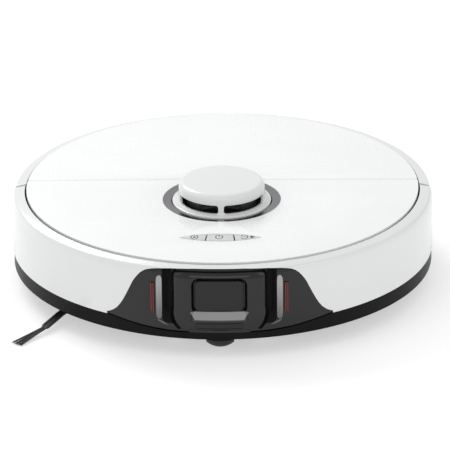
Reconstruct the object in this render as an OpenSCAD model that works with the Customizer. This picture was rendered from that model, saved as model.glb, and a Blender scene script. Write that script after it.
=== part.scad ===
// Round robot vacuum with a laser tower, a sprung bumper, a hinged rear lid, two rollers,
// two sprung drive wheels, a swivel caster and one side brush.
// Frame: millimetres, floor at z = 0, centre of the disc on the Z axis, front towards -Y.

/* [Body] */
// Outer diameter of the body
body_d = 350; // [330:1:440]
// Height of the deck's upper face
deck_z = 79.2; // [76:0.1:100]
// Height of the underside above the floor
under_z = 11; // [10:0.5:14]
// Thickness of the moulded walls
wall = 2.2; // [1.8:0.1:2.6]
// Width of the sloped band outside the deck
band_w = 11.8; // [10:0.1:14]
// Height where the black base meets the white sides
skirt_top = 28.7; // [26:0.1:32]
// Height of the lower edge of the black base's side
skirt_low = 16.6; // [14:0.1:20]
// Thickness of the deck and the lid
deck_t = 2.5; // [2:0.1:3]

/* [Bumper] */
// How far the bumper moves when it is pushed
bumper_travel = 2.5; // [1:0.1:2.8]
// Extra forward offset of the bumper's inner edge
lip_offset = 1.8; // [1.5:0.1:2.5]
// Gap beside the deck at the bumper's two ends
lip_gap = 1.2; // [1.2:0.1:2]
// Gap between the bumper and the side shell
end_gap = 3.5; // [3.2:0.1:5]
// Where the bumper ends, behind the centre line
bumper_end_y = 3; // [0:0.5:6]
// Half width of the sunk middle of the front panel
recess_x = 50.8; // [46:0.1:52]
// Half width of the camera window
window_x = 19.4; // [16:0.1:24]

/* [Lid] */
// Distance of the hinge line behind the centre
hinge_y = 17.2; // [16:0.1:24]
// Radius of the lid's curled front edge
nose_r = 5.2; // [5:0.1:6]
// Opening angle of the lid
lid_open = 70; // [40:1:75]
// Radius of the hinge pins
lid_pin_r = 1.6; // [1.2:0.1:2]

/* [Laser tower] */
// Distance of the tower ahead of the centre
tower_y = 29; // [24:0.5:36]
// Height of the tower above the deck
tower_h = 17.3; // [15:0.1:21]
// Radius of the tower's foot
tower_r = 41; // [38:0.1:42]
// Outer radius of the grey ring around the tower
ring_r = 48.7; // [47.6:0.1:50]
// How far the tower's cover can be pressed
cover_travel = 1.5; // [0.5:0.1:1.6]

/* [Buttons] */
// Distance of the button strip ahead of the centre
strip_y = 110.9; // [104:0.1:116]
// Half length of the button strip
strip_x = 33.3; // [30:0.1:36]
// How far a button moves
button_travel = 0.7; // [0.4:0.1:0.8]
// Bulge of the strip's rear edge
strip_back = 7.3; // [6:0.1:8]
// Bulge of the strip's front edge
strip_front = 7.8; // [6:0.1:8.4]

/* [Drive] */
// Drive wheel radius
wheel_r = 32; // [28:0.5:33]
// Drive wheel width
wheel_w = 23; // [18:0.5:24]
// Distance from the centre to the middle of a drive wheel
wheel_x = 103.5; // [103:0.5:110]
// Distance of the wheel's axle behind the centre
wheel_y = 18; // [16:0.5:20]
// Caster wheel radius
caster_r = 14; // [12:0.5:14.5]
// Caster wheel width
caster_w = 22.7; // [18:0.1:24]
// Distance of the caster's contact ahead of the centre
caster_y = 148; // [140:0.5:152]

/* [Cleaning] */
// Roller radius over the blades
roller_r = 15.5; // [13:0.5:16]
// Roller half length
roller_x = 74.5; // [60:0.5:75]
// Reach of the side brush from its axis
sweep_r = 88.4; // [74:0.1:90]
// Fan wheel radius
fan_r = 19; // [14:0.5:20]

/* [Hidden] */
$fn = 96;
R = body_d / 2;
run = 0.05;                         // radial clearance of a shaft that turns in a bore
seat = 0.1;                         // clearance of a part that drops into its seat
slack = 0.5;                        // clearance between separately moving covers
grow = R - 175;                     // how much the rim has moved from the usual size
deck_r = R - band_w;
deck_u = deck_z - deck_t;           // underside of the deck
floor_z = under_z + wall;           // upper face of the base's floor
skirt_r = R - 0.7;
in_r = deck_r - wall;               // inside of the upright wall
shell_r = R - wall;                 // inside of the outer shells
hinge_z = deck_z - nose_r;
curl_r = nose_r - 1.5;              // inside of the curled edge
edge_y = hinge_y - nose_r;          // front edge of the lid
pin_x = 136 + grow / 2;             // middle of each lid hinge
knuckle_w = 8;
tongue_x = 30.6;                    // deck tongue that carries the ring's rear
tongue_y = hinge_y + 3.6;
swing_r = norm([tongue_y - hinge_y, nose_r]) + 0.275;  // radius the lid keeps clear there
tower_z = deck_z + tower_h;
slot_lo = deck_z + 1;               // lower edge of the tower's slots
slot_hi = tower_z - 8.9;
turret_top = tower_z - 2 - cover_travel - 0.7;
plate_z = deck_u - 14.7;            // underside of the laser's base plate
plate_t = 2.5;
pulley_r = 5;
disc_r = tower_r - 5;               // rim of the turning turret
head_r = tower_r - 11;              // rim of the turret's head
pulley_x = disc_r + pulley_r + 0.4;
axle_z = wheel_r;
pivot_y = wheel_y + 46;
pivot_z = wheel_r + 8;
arm_x = wheel_x - wheel_w / 2 - 8.5;  // inner face of the suspension arm
arm_t = 7;
motor_y = wheel_y + 25.5;
well_x0 = arm_x - 0.6;
well_x1 = wheel_x + wheel_w / 2 + 2;
well_y0 = wheel_y - wheel_r - 2.5;
well_y1 = wheel_y + wheel_r + 4.5;
well_z = 2 * wheel_r + 1.5;
house_x = 80;                       // roller housing half width
house_y0 = -52;
house_y1 = 28;
house_z = 42;
roller_z = 21;
roller_y = [-30, 6];
swivel_y = caster_y - 3;
cup_r = caster_r + 4.2;
cup_z = 2 * caster_r + 5;
brush_pos = [-108, -83];
brush_a = 228.1;                    // direction of the visible arm
brush_tilt = 5.43;
bin_x = 56;
bin_y0 = 36;
bin_y1 = 112;
bin_z1 = deck_u - 10.7;
tray_z = deck_u - 6.7;
fan_y = 136.5;
fan_case_r = 23.5;
fan_top = 60;
board_z = deck_u - 18.7;
pad_x = 63.8;                       // battery cover half width
pad_y0 = -117.8;
pad_y1 = -66.2;

// Cross-section of the outer shells, from the foot up and over to the inner lip
shell_top = [[R, deck_z - 10.7], [R - 0.15, deck_z - 8], [R - 0.7, deck_z - 5.6],
  [R - 1.6, deck_z - 3.8], [R - 2.8, deck_z - 2.5], [deck_r - 0.6, deck_z - 0.6]];
shell_in = [[deck_r - 0.6, deck_z - 2.8], [R - 4.4, deck_z - 4.6], [shell_r, deck_z - 9.6]];

// Outline of the front panel, half width and height
panel_side = [[40, 22.7], [52.6, 23.6], [64.6, 24.9], [84, 28], [91.3, skirt_top + slack],
  [91.3, 31], [84.8, 35], [80, 40.6], [75.1, 50.5], [70.2, 61.5], [67.2, deck_z - 12.2],
  [63.1, deck_z - 7.7], [54.8, deck_z - 4.3], [40, deck_z - 2.8], [20, deck_z - 2.4]];
panel_pts = concat([for (p = panel_side) p], [for (i = [len(panel_side) - 1:-1:0])
  [-panel_side[i][0], panel_side[i][1]]]);

module box(x0, x1, y0, y1, z0, z1) {
  translate([x0, y0, z0]) cube([x1 - x0, y1 - y0, z1 - z0]);
}

module post(x, y, r, z0, z1) {
  translate([x, y, z0]) cylinder(r = r, h = z1 - z0);
}

module rod(x0, x1, y, z, r) {
  translate([x0, y, z]) rotate([0, 90, 0]) cylinder(r = r, h = x1 - x0);
}

module ring(r1, r0, z0, z1) {
  difference() {
    translate([0, 0, z0]) cylinder(r = r1, h = z1 - z0, $fn = 180);
    translate([0, 0, z0 - 1]) cylinder(r = r0, h = z1 - z0 + 2, $fn = 180);
  }
}

module wedge(a0, a1, r, z0, z1) {
  translate([0, 0, z0]) rotate([0, 0, a0]) rotate_extrude(angle = a1 - a0) square([r, z1 - z0]);
}

module both() {
  children();
  mirror([1, 0, 0]) children();
}

module outer_shell(foot) {
  rotate_extrude($fn = 180) polygon(concat([[R, foot]], shell_top, shell_in, [[shell_r, foot]]));
}

module front_prism(pts, y1) {
  translate([0, y1, 0]) rotate([90, 0, 0]) linear_extrude(y1 + R + 20) polygon(pts);
}

// ---- fixed structure ----

module base_profile() {
  polygon([[0, under_z], [R - 15, under_z], [skirt_r, skirt_low], [skirt_r, skirt_top],
    [skirt_r - wall, skirt_top], [skirt_r - wall, skirt_low + 0.9], [R - 15.5, floor_z],
    [0, floor_z]]);
}

module fender() {
  box(well_x0 + 1.1, well_x1 + wall, well_y0 - wall, well_y1 + wall, floor_z - 1, well_z + 2);
  box(well_x0 - 5.4, well_x0 - 0.1, pivot_y - 8, pivot_y + 8, floor_z - 1, pivot_z + 8);
  box(arm_x + arm_t + 0.6, arm_x + arm_t + 5.5, well_y1, pivot_y + 8, floor_z - 1, pivot_z + 8);
}

module fender_cut() {
  box(well_x0, well_x1, well_y0, well_y1, under_z - 1, well_z);
  box(well_x0 + 0.1, well_x1 - 26, well_y0, pivot_y + 12, under_z - 1, well_z);
  rod(well_x0 - 7, arm_x + arm_t + 7, pivot_y, pivot_z, 3 + run);
}

module base_shell() {
  color([0.1, 0.1, 0.11]) difference() {
    union() {
      rotate_extrude($fn = 180) base_profile();
      ring(deck_r, in_r, floor_z, deck_u);
      both() fender();
      both() post(75, -122, 4, floor_z - 1, board_z);
      both() post(75, -88, 4, floor_z - 1, board_z);
      both() post(98, 118, 5, floor_z - 1, tray_z);
      both() post(120, 90, 5, floor_z - 1, tray_z);
      both() box(bin_x + 1, bin_x + 3, 60, 100, floor_z - 1, 40);
      box(-14, 14, fan_y - 14, fan_y + 14, floor_z - 1, 18);
    }
    both() fender_cut();
    box(-house_x - seat, house_x + seat, house_y0 - seat, house_y1 + seat, 0, floor_z + 1);
    box(-pad_x - seat, pad_x + seat, pad_y0 - seat, pad_y1 + seat, 0, floor_z + 1);
    post(0, -swivel_y, cup_r + 1.6 + seat, 0, cup_z + 4);
    post(brush_pos[0], brush_pos[1], 4, 0, floor_z + 1);
    both() box(64.9, 79.1, -136.1, -127.9, 0, floor_z + 1);
    both() box(141.9, 150.1, -37.1, -22.9, 0, floor_z + 1);
    both() box(27.9, 44.1, -142.1, -133.9, 0, floor_z + 1);
    translate([0, 0, -slack - 0.1]) front_prism(panel_pts, -R + 45);
    both() box(104, 116, -R + 20, -100, 48.5, 54.5);
    box(-20, 20, 140, deck_r + 1, 26, 54);
    box(-R, R, edge_y - 0.4, R, deck_u - 0.6, deck_u + 2);
    box(-R, R, edge_y - 0.4, hinge_y + 8, hinge_z - nose_r - 0.5, deck_u + 2);
    both() box(pin_x - 6, pin_x + 6, 0, 24, deck_u - 14, deck_u + 1);
  }
}

module side_shell() {
  color([0.93, 0.93, 0.94]) difference() {
    outer_shell(skirt_top);
    translate([0, 0, deck_z - 6]) cylinder(r = deck_r + 1, h = 10, $fn = 180);
    box(-R - 1, R + 1, -R - 1, bumper_end_y + end_gap, 0, deck_z + 1);
    box(-18.8, 18.8, 150, R - 7.6, deck_z - 6, deck_z + 1);
    wedge(90 - 10.2, 90 + 10.2, R + 2, 33.8, 56.2);
  }
}

module deck_outline() {
  intersection() {
    circle(r = deck_r, $fn = 180);
    union() {
      translate([-R, -R]) square([2 * R, R + edge_y - 0.4]);
      translate([-tongue_x, 0]) square([2 * tongue_x, tongue_y]);
    }
  }
}

// Radius of an arc that bulges by s over the strip's half length
function arc_r(s) = (strip_x * strip_x + s * s) / (2 * s);

// Lens-shaped strip, widened all round by g
module strip(g) {
  intersection() {
    translate([0, -strip_y + strip_back - arc_r(strip_back)])
      circle(r = arc_r(strip_back) + g, $fn = 180);
    translate([0, -strip_y - strip_front + arc_r(strip_front)])
      circle(r = arc_r(strip_front) + g, $fn = 180);
  }
}

module deck_arm() {
  box(pin_x - knuckle_w / 2, pin_x + knuckle_w / 2, 2, edge_y - 3, hinge_z - 10, deck_u + 0.5);
  box(pin_x - knuckle_w / 2, pin_x + knuckle_w / 2, 2, hinge_y + 3, hinge_z - 10, hinge_z - 6.5);
  box(pin_x - knuckle_w / 2, pin_x + knuckle_w / 2, hinge_y - 1, hinge_y + 3, hinge_z - 9, hinge_z);
  rod(pin_x - knuckle_w / 2, pin_x + knuckle_w / 2, hinge_y, hinge_z, curl_r - slack);
}

module top_deck() {
  color([0.95, 0.95, 0.96]) difference() {
    union() {
      translate([0, 0, deck_u]) linear_extrude(deck_t) deck_outline();
      intersection() {
        translate([0, -tower_y, deck_u - 2]) cylinder(r = ring_r + 2.3, h = 3);
        translate([0, 0, deck_u - 3]) linear_extrude(5) deck_outline();
      }
      both() deck_arm();
    }
    translate([0, -tower_y, 0]) cylinder(r = ring_r - 2.3, h = deck_z + 1);
    translate([0, -tower_y, deck_u + 0.3]) cylinder(r = ring_r + 0.15, h = deck_t);
    translate([0, 0, deck_u - 1]) linear_extrude(deck_t + 2) strip(0.35);
    both() rod(pin_x - 20, pin_x + 20, hinge_y, hinge_z, lid_pin_r + 0.02);
  }
}

module lidar_ring() {
  r = ring_r;
  color([0.7, 0.7, 0.72]) translate([0, -tower_y, 0]) rotate_extrude()
    polygon([[tower_r + 0.6, deck_u - 1.5], [r - 2.5, deck_u - 1.5], [r - 2.5, deck_u + 0.3],
      [r, deck_u + 0.3], [r, deck_z - 0.3], [tower_r + 0.6, deck_z - 0.8]]);
}

module lid_pin() {
  rod(pin_x - 9, pin_x + 9, hinge_y, hinge_z, lid_pin_r);
}

module lid_pin_left() {
  color([0.7, 0.7, 0.72]) mirror([1, 0, 0]) lid_pin();
}

module lid_pin_right() {
  color([0.7, 0.7, 0.72]) lid_pin();
}

module inner_tray() {
  color([0.3, 0.31, 0.33]) difference() {
    translate([0, 0, tray_z]) cylinder(r = in_r - seat, h = 2, $fn = 180);
    box(-R, R, -R, hinge_y + nose_r + 1.6, tray_z - 1, tray_z + 3);
    box(-bin_x - 1, bin_x + 1, bin_y0 - 1, bin_y1 + 1, tray_z - 1, tray_z + 3);
  }
}

module battery_pack() {
  color([0.15, 0.2, 0.35]) difference() {
    box(-60, 60, -114, -70, floor_z, 48);
    for (x = [-40, -20, 0, 20, 40]) box(x - 0.6, x + 0.6, -115, -69, 46.5, 49);
  }
}

module battery_cover() {
  color([0.12, 0.12, 0.13]) box(-pad_x, pad_x, pad_y0, pad_y1, under_z, floor_z);
}

module brush_housing() {
  color([0.2, 0.2, 0.22]) difference() {
    union() {
      box(-house_x, house_x, house_y0, house_y1, under_z, house_z);
      box(-33, 33, house_y1 - 1, bin_y0 - 0.3, 21, 41);
    }
    box(-house_x + 4, house_x - 4, house_y0 + 2.5, house_y1 - 2.5, 0, house_z - 2.5);
    box(-30, 30, house_y1 - 5, bin_y0 + 1, 24, 38);
    for (y = roller_y) rod(-house_x - 1, house_x + 1, y, roller_z, 3 + run);
  }
}

module brush_cover() {
  color([0.16, 0.16, 0.17]) difference() {
    box(-house_x - 2, house_x + 2, house_y0 - 4, house_y1 + 3, under_z - 2, under_z);
    box(-house_x + 4, house_x - 4, house_y0 + 3, house_y1 - 3, 0, under_z + 1);
  }
}

module brush_gearbox() {
  color([0.25, 0.25, 0.27]) {
    box(-house_x, -64, -6, 26, house_z, 60);
    rod(-64.5, -28, 10, 51.8, 8.8);
  }
}

module main_board() {
  color([0.08, 0.3, 0.16]) {
    box(-80, 80, -127, -84, board_z, board_z + 1.6);
    box(-58, -40, -104, -88, board_z + 1, board_z + 4);
    box(44, 66, -120, -100, board_z + 1, board_z + 5);
    box(-30, 30, -strip_y - 5, -strip_y + 5, board_z + 1, deck_u - 6.7);
    for (x = [-22, 0, 22]) post(x, -strip_y, 2.4, deck_u - 7, deck_u - 4.4);
  }
}

module caster_housing() {
  color([0.14, 0.14, 0.15]) translate([0, -swivel_y, 0]) difference() {
    union() {
      translate([0, 0, under_z]) cylinder(r = cup_r + 1.6, h = cup_z + 2.5 - under_z);
      translate([0, 0, cup_z]) cylinder(r = 8, h = 9);
    }
    translate([0, 0, 0]) cylinder(r = cup_r, h = cup_z);
    translate([0, 0, 0]) cylinder(r = 4 + run, h = cup_z + 10);
  }
}

module lidar_base() {
  color([0.2, 0.2, 0.22]) translate([0, -tower_y, 0]) difference() {
    union() {
      translate([0, 0, plate_z]) cylinder(r = ring_r + 2, h = plate_t);
      translate([0, 0, plate_z]) cylinder(r = 12, h = 6);
      for (a = [45:90:315]) rotate([0, 0, a]) post(ring_r, 0, 2.2, plate_z + 1, deck_u - 2);
    }
    translate([0, 0, plate_z - 1]) cylinder(r = 7 + run, h = 10);
    post(pulley_x, 0, 3, plate_z - 1, plate_z + 9);
  }
}

module lidar_motor() {
  color([0.6, 0.6, 0.62]) {
    post(pulley_x, -tower_y, 7.5, plate_z - 14, plate_z);
    post(pulley_x, -tower_y, 1.5, plate_z - 1, plate_z + 7);
  }
}

module dust_bin() {
  color([0.35, 0.36, 0.38]) difference() {
    box(-bin_x, bin_x, bin_y0, bin_y1, 16, bin_z1);
    box(-bin_x + 2, bin_x - 2, bin_y0 + 2, bin_y1 - 2, 18, bin_z1 + 1);
    box(-30, 30, bin_y0 - 1, bin_y0 + 3, 24, 38);
    box(-36, 36, bin_y1 - 3, bin_y1 + 1, 28, 52);
  }
}

module bin_cover() {
  color([0.24, 0.25, 0.27]) difference() {
    union() {
      box(-bin_x, bin_x, bin_y0, bin_y1, bin_z1, bin_z1 + 2);
      box(-24, 24, 68, 82, bin_z1 + 1, bin_z1 + 8);
    }
    box(-20, 20, 66, 84, bin_z1 + 2, bin_z1 + 5.5);
  }
}

module bin_filter() {
  color([0.85, 0.85, 0.82]) difference() {
    box(-42, 42, bin_y1 - 9, bin_y1 - 2, 18, 58);
    for (x = [-36:6:36]) box(x - 1.5, x + 1.5, bin_y1 - 10, bin_y1 - 4, 22, 54);
  }
}

module fan_housing() {
  color([0.22, 0.22, 0.24]) difference() {
    post(0, fan_y, fan_case_r, 18, fan_top);
    post(0, fan_y, fan_case_r - 2, 20, fan_top - 2);
    box(-15, 15, fan_y - fan_case_r - 1, fan_y - 15, 28, 52);
    box(-14, 14, fan_y + 15, fan_y + fan_case_r + 1, 28, 52);
  }
}

module fan_motor() {
  color([0.62, 0.62, 0.64]) {
    post(0, fan_y, 14, 20, 38);
    post(0, fan_y, 2, 37, 54);
  }
}

module impeller() {
  color([0.3, 0.3, 0.32]) difference() {
    union() {
      post(0, fan_y, fan_r, 40, 42);
      post(0, fan_y, 5, 40, 53);
      for (a = [0:40:320]) translate([0, fan_y, 41]) rotate([0, 0, a])
        translate([4, -0.7, 0]) cube([fan_r - 5, 1.4, 11]);
    }
    post(0, fan_y, 2 + run, 39, 56);
  }
}

module exhaust_grille() {
  color([0.25, 0.25, 0.27]) difference() {
    union() {
      intersection() {
        ring(R - 0.3, shell_r - 0.3, 34, 56);
        wedge(90 - 10, 90 + 10, R + 2, 33, 57);
      }
      intersection() {
        ring(shell_r - 0.05, shell_r - 1.6, 32, 58);
        wedge(90 - 11, 90 + 11, R + 2, 31, 59);
      }
    }
    for (a = [-8:2:8]) rotate([0, 0, a]) box(-1.6, 1.6, R - 10, R + 2, 37, 53);
  }
}

module side_brush_motor() {
  color([0.24, 0.24, 0.26]) {
    post(brush_pos[0], brush_pos[1], 12, floor_z, 40);
    post(brush_pos[0], brush_pos[1], 2.5, under_z - 4, floor_z + 1);
  }
}

module cliff_windows() {
  color([0.08, 0.06, 0.1]) {
    both() box(65, 79, -136, -128, under_z, floor_z + 0.4);
    both() box(142, 150, -37, -23, under_z, floor_z + 0.4);
  }
}

module charge_contacts() {
  color([0.8, 0.78, 0.72]) both() box(28, 44, -142, -134, under_z - 0.4, floor_z + 0.4);
}

module base_screws() {
  color([0.5, 0.5, 0.52]) both() for (y = [-112, -72]) post(58, y, 2.6, under_z - 0.9, under_z);
}

module bumper_switches() {
  color([0.1, 0.1, 0.1]) both() rotate([0, 0, -122]) {
    box(deck_r + 0.1, deck_r + 2.6, -6, 6, 36, 44);
    box(deck_r + 2.5, deck_r + 3.6, -4, 4, 38, 42);
  }
}

module arm_pin() {
  rod(arm_x - 5, arm_x + arm_t + 5, pivot_y, pivot_z, 3);
}

module arm_pin_left() {
  color([0.7, 0.7, 0.72]) mirror([1, 0, 0]) arm_pin();
}

module arm_pin_right() {
  color([0.7, 0.7, 0.72]) arm_pin();
}

// ---- bumper ----

module bumper_cover() {
  color([0.92, 0.92, 0.93]) difference() {
    outer_shell(skirt_top + slack);
    translate([0, -lip_offset, deck_z - 6]) cylinder(r = deck_r + lip_gap, h = 10, $fn = 180);
    box(-R - 1, R + 1, bumper_end_y, R + 1, 0, deck_z + 1);
    translate([0, 0, -seat]) front_prism(panel_pts, -R + 60);
    translate([0, 0, seat]) front_prism(panel_pts, -R + 60);
    both() translate([seat, 0, 0]) front_prism(panel_pts, -R + 60);
  }
}

module bumper_frame() {
  color([0.14, 0.14, 0.15]) difference() {
    union() {
      ring(shell_r - 0.1, shell_r - 2.6, 33, 66);
      intersection() {
        both() box(105, 115, -R + 20, -108, 50, 53);
        post(0, 0, shell_r - 1, 0, deck_z);
      }
    }
    box(-R - 1, R + 1, bumper_end_y - 2, R + 1, 0, deck_z + 1);
    box(-57, 57, -R - 1, -R + 60, 0, deck_z + 1);
    for (a = [-170:20:-10]) rotate([0, 0, a]) box(R - 20, R + 2, -11, 11, 40, 47);
    for (a = [-170:20:-10]) rotate([0, 0, a]) box(R - 20, R + 2, -11, 11, 56, 61);
  }
}

module sensor_panel() {
  color([0.06, 0.06, 0.07]) difference() {
    intersection() {
      union() {
        outer_shell(20);
        intersection() {
          ring(R - 1, R - 5.2, 23.5, deck_z - 10.7);
          box(-56, 56, -R, -100, 0, deck_z);
        }
      }
      front_prism(panel_pts, -R + 60);
    }
    translate([0, -lip_offset, deck_z - 6]) cylinder(r = deck_r + lip_gap, h = 10, $fn = 180);
    intersection() {
      ring(R + 5, R - 2, 31, deck_z - 8);
      box(-recess_x, recess_x, -R - 5, -100, 0, deck_z);
    }
    intersection() {
      ring(R + 5, R - 4, 34, deck_z - 11);
      both() box(recess_x - 9.8, recess_x - 3.8, -R - 5, -100, 0, deck_z);
    }
    intersection() {
      ring(R + 5, R - 3.6, 38.5, 68.5);
      box(-window_x - 2.6, window_x + 2.6, -R - 5, -100, 0, deck_z);
    }
    box(-window_x - 0.2, window_x + 0.2, -R - 5, -100, 40.3, 66.7);
    intersection() {
      ring(R + 5, R - 2, 23.8, 30.2);
      box(-window_x + 0.4, window_x - 0.4, -R - 5, -100, 0, deck_z);
    }
    both() box(53.1, 54.9, -R - 5, -100, 37.9, 63.6);
  }
}

module camera_window() {
  color([0.03, 0.03, 0.04]) {
    intersection() {
      ring(R - 3.7, R - 5.5, 40.5, 66.5);
      box(-window_x, window_x, -R, -100, 0, deck_z);
    }
    intersection() {
      ring(R - 5.25, R - 6.4, 38.6, 68.4);
      box(-window_x - 2, window_x + 2, -R, -100, 0, deck_z);
    }
  }
}

module laser_bar() {
  intersection() {
    ring(R - 0.1, R - 5, 38, 63.5);
    box(53.2, 54.8, -R, -100, 0, deck_z);
  }
}

module laser_left() {
  color([0.8, 0.1, 0.12]) mirror([1, 0, 0]) laser_bar();
}

module laser_right() {
  color([0.8, 0.1, 0.12]) laser_bar();
}

module dock_window() {
  color([0.08, 0.05, 0.06]) intersection() {
    ring(R - 0.4, R - 1.95, 24, 30);
    box(-window_x + 0.6, window_x - 0.6, -R, -100, 0, deck_z);
  }
}

// ---- lid ----

module curl() {
  intersection() {
    difference() {
      rod(-R, R, hinge_y, hinge_z, nose_r - 0.02);
      rod(-R - 1, R + 1, hinge_y, hinge_z, curl_r);
    }
    box(-R - 1, R + 1, edge_y - 1, hinge_y + 0.5, hinge_z + 1, deck_z + 1);
  }
}

module rear_lid() {
  color([0.96, 0.96, 0.97]) difference() {
    union() {
      intersection() {
        union() {
          box(-R, R, hinge_y, R, deck_u, deck_z);
          curl();
          for (s = [-1, 1]) for (d = [-1, 1])
            rod(s * pin_x + d * 9.25 - 4.75, s * pin_x + d * 9.25 + 4.75, hinge_y, hinge_z, nose_r - 0.1);
        }
        translate([0, 0, hinge_z - 10]) cylinder(r = deck_r, h = 30, $fn = 180);
      }
      box(-18.2, 18.2, deck_r - 10, R - 8.4, deck_u + 0.4, deck_z - 0.5);
    }
    rod(-tongue_x - 0.6, tongue_x + 0.6, hinge_y, hinge_z, swing_r);
    both() rod(pin_x - 9.5, pin_x + 9.5, hinge_y, hinge_z, lid_pin_r + run);
    both() box(pin_x - 4.5, pin_x + 4.5, hinge_y - 0.1, hinge_y + 6, hinge_z - 1, hinge_z + curl_r - 0.2);
  }
}

// ---- laser tower ----

module lidar_cap() {
  t = tower_r;
  color([0.95, 0.95, 0.96]) translate([0, -tower_y, 0]) difference() {
    rotate_extrude() polygon([[t, deck_u - 3.2], [t, deck_z + 0.2], [t - 0.6, deck_z + 0.6],
      [t - 4.6, slot_lo - 0.1], [t - 5, slot_lo + 0.4], [t - 5.4, tower_z - 5],
      [t - 6.2, tower_z - 2], [t - 7.6, tower_z - 0.5], [t - 9.4, tower_z], [0, tower_z],
      [0, tower_z - 2], [t - 9.4, tower_z - 2], [t - 7.4, tower_z - 5], [t - 7, slot_lo - 2],
      [t - 2, slot_lo - 2.2], [t - 2, deck_u - 3.2]]);
    for (a = [[-161, -93.6], [-86.4, -19], [9, 86.4], [93.6, 171]])
      wedge(a[0], a[1], t + 2, slot_lo, slot_hi);
  }
}

module lidar_turret() {
  color([0.12, 0.12, 0.13]) translate([0, -tower_y, 0]) difference() {
    union() {
      translate([0, 0, plate_z - 1]) cylinder(r = 7, h = 8);
      translate([0, 0, plate_z + 6.4]) cylinder(r = disc_r, h = 3.6);
      translate([0, 0, plate_z + 9]) cylinder(r = head_r, h = turret_top - plate_z - 9);
    }
    box(-20, 20, -head_r - 2, -head_r + 6, slot_lo - 1, slot_hi + 1);
  }
}

module turret_lens() {
  color([0.1, 0.05, 0.08]) translate([0, -tower_y, 0]) {
    box(-15, -5, -head_r + 2, -head_r + 6, slot_lo, slot_hi);
    box(5, 15, -head_r + 2, -head_r + 6, slot_lo, slot_hi);
  }
}

module lidar_pulley() {
  color([0.2, 0.2, 0.2]) difference() {
    post(pulley_x, -tower_y, pulley_r, plate_z + plate_t + 0.5, plate_z + 9.5);
    post(pulley_x, -tower_y, 1.5 + run, plate_z, plate_z + 8);
  }
}

// ---- buttons ----

module button_slice(side, g) {
  intersection() {
    strip(g);
    if (side == 0) polygon([[-8.8, -strip_y + 20], [8.8, -strip_y + 20], [12.8, -strip_y - 20],
      [-12.8, -strip_y - 20]]);
    else polygon([[side * 9.8, -strip_y + 20], [side * 60, -strip_y + 20],
      [side * 60, -strip_y - 20], [side * 13.8, -strip_y - 20]]);
  }
}

module button(side) {
  translate([0, 0, deck_u]) linear_extrude(deck_t + 0.4) button_slice(side, 0);
  translate([0, 0, deck_u - 1.5]) linear_extrude(1.2) button_slice(side, 1.2);
  translate([0, 0, deck_u - 0.4]) linear_extrude(0.6) button_slice(side, 0);
  post(side * 22, -strip_y, 2.2, deck_u - 3.3, deck_u - 1);
}

module button_left() {
  color([0.82, 0.82, 0.84]) button(-1);
}

module button_middle() {
  color([0.82, 0.82, 0.84]) button(0);
}

module button_right() {
  color([0.82, 0.82, 0.84]) button(1);
}

// ---- side brush ----

// Centre line of one arm, along and across its direction, with its width
arm_line = [[4, -2, 9], [14, -6, 8.4], [25, -7.2, 8], [38, -4.5, 8], [54.7, -0.7, 8]];
tuft_line = [[54.7, -0.7, 5], [70, -0.3, 8], [sweep_r, 0, 11.5]];

module band(line, z0, z1) {
  translate([0, 0, z0]) linear_extrude(z1 - z0) polygon(concat(
    [for (p = line) [p[0], p[1] - p[2] / 2]],
    [for (i = [len(line) - 1:-1:0]) [line[i][0], line[i][1] + line[i][2] / 2]]));
}

module three_arms() {
  for (k = [0:2]) translate([brush_pos[0], brush_pos[1], 9.4]) rotate([0, 0, brush_a + 120 * k])
    rotate([0, brush_tilt, 0]) children();
}

module side_brush() {
  color([0.15, 0.15, 0.16]) difference() {
    union() {
      three_arms() band(arm_line, -1, 1);
      post(brush_pos[0], brush_pos[1], 9, 5.5, under_z - 0.5);
    }
    post(brush_pos[0], brush_pos[1], 2.5 + run, under_z - 4.2, under_z + 4);
  }
}

module side_brush_bristles() {
  color([0.2, 0.2, 0.2]) three_arms() band(tuft_line, -0.5, 0.5);
}

module side_brush_screw() {
  color([0.6, 0.6, 0.62]) post(brush_pos[0], brush_pos[1], 3.2, 4.6, 5.5);
}

// ---- rollers ----

module roller(y, twist) {
  translate([-roller_x, y, roller_z]) rotate([90, 0, 90]) linear_extrude(2 * roller_x) union() {
    circle(r = 10.5);
    for (a = [0:60:300]) rotate(a + twist) translate([0, -1]) square([roller_r, 2]);
  }
  rod(-house_x + 0.4, -roller_x + 1, y, roller_z, 3);
  rod(roller_x - 1, house_x - 0.4, y, roller_z, 3);
}

module roller_front() {
  color([0.25, 0.26, 0.28]) roller(roller_y[0], 0);
}

module roller_rear() {
  color([0.25, 0.26, 0.28]) roller(roller_y[1], 30);
}

// ---- drive wheels ----

module arm() {
  difference() {
    union() {
      translate([arm_x, 0, 0]) rotate([90, 0, 90]) linear_extrude(arm_t) polygon([
        [wheel_y - 3, axle_z + 13.5], [pivot_y, pivot_z + 8], [pivot_y + 2, pivot_z - 8],
        [wheel_y + 4, axle_z - 13.5]]);
      rod(arm_x, arm_x + arm_t, wheel_y, axle_z, 14);
      rod(arm_x, arm_x + arm_t, pivot_y, pivot_z, 8.2);
      rod(arm_x - 21.5, arm_x + 1, motor_y, pivot_z - 1, 10.5);
      rod(arm_x + arm_t - 1, wheel_x - 2, wheel_y, axle_z, 4);
    }
    rod(arm_x - 1, arm_x + arm_t + 1, pivot_y, pivot_z, 3 + run);
  }
}

module arm_left() {
  color([0.2, 0.2, 0.22]) mirror([1, 0, 0]) arm();
}

module arm_right() {
  color([0.2, 0.2, 0.22]) arm();
}

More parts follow.
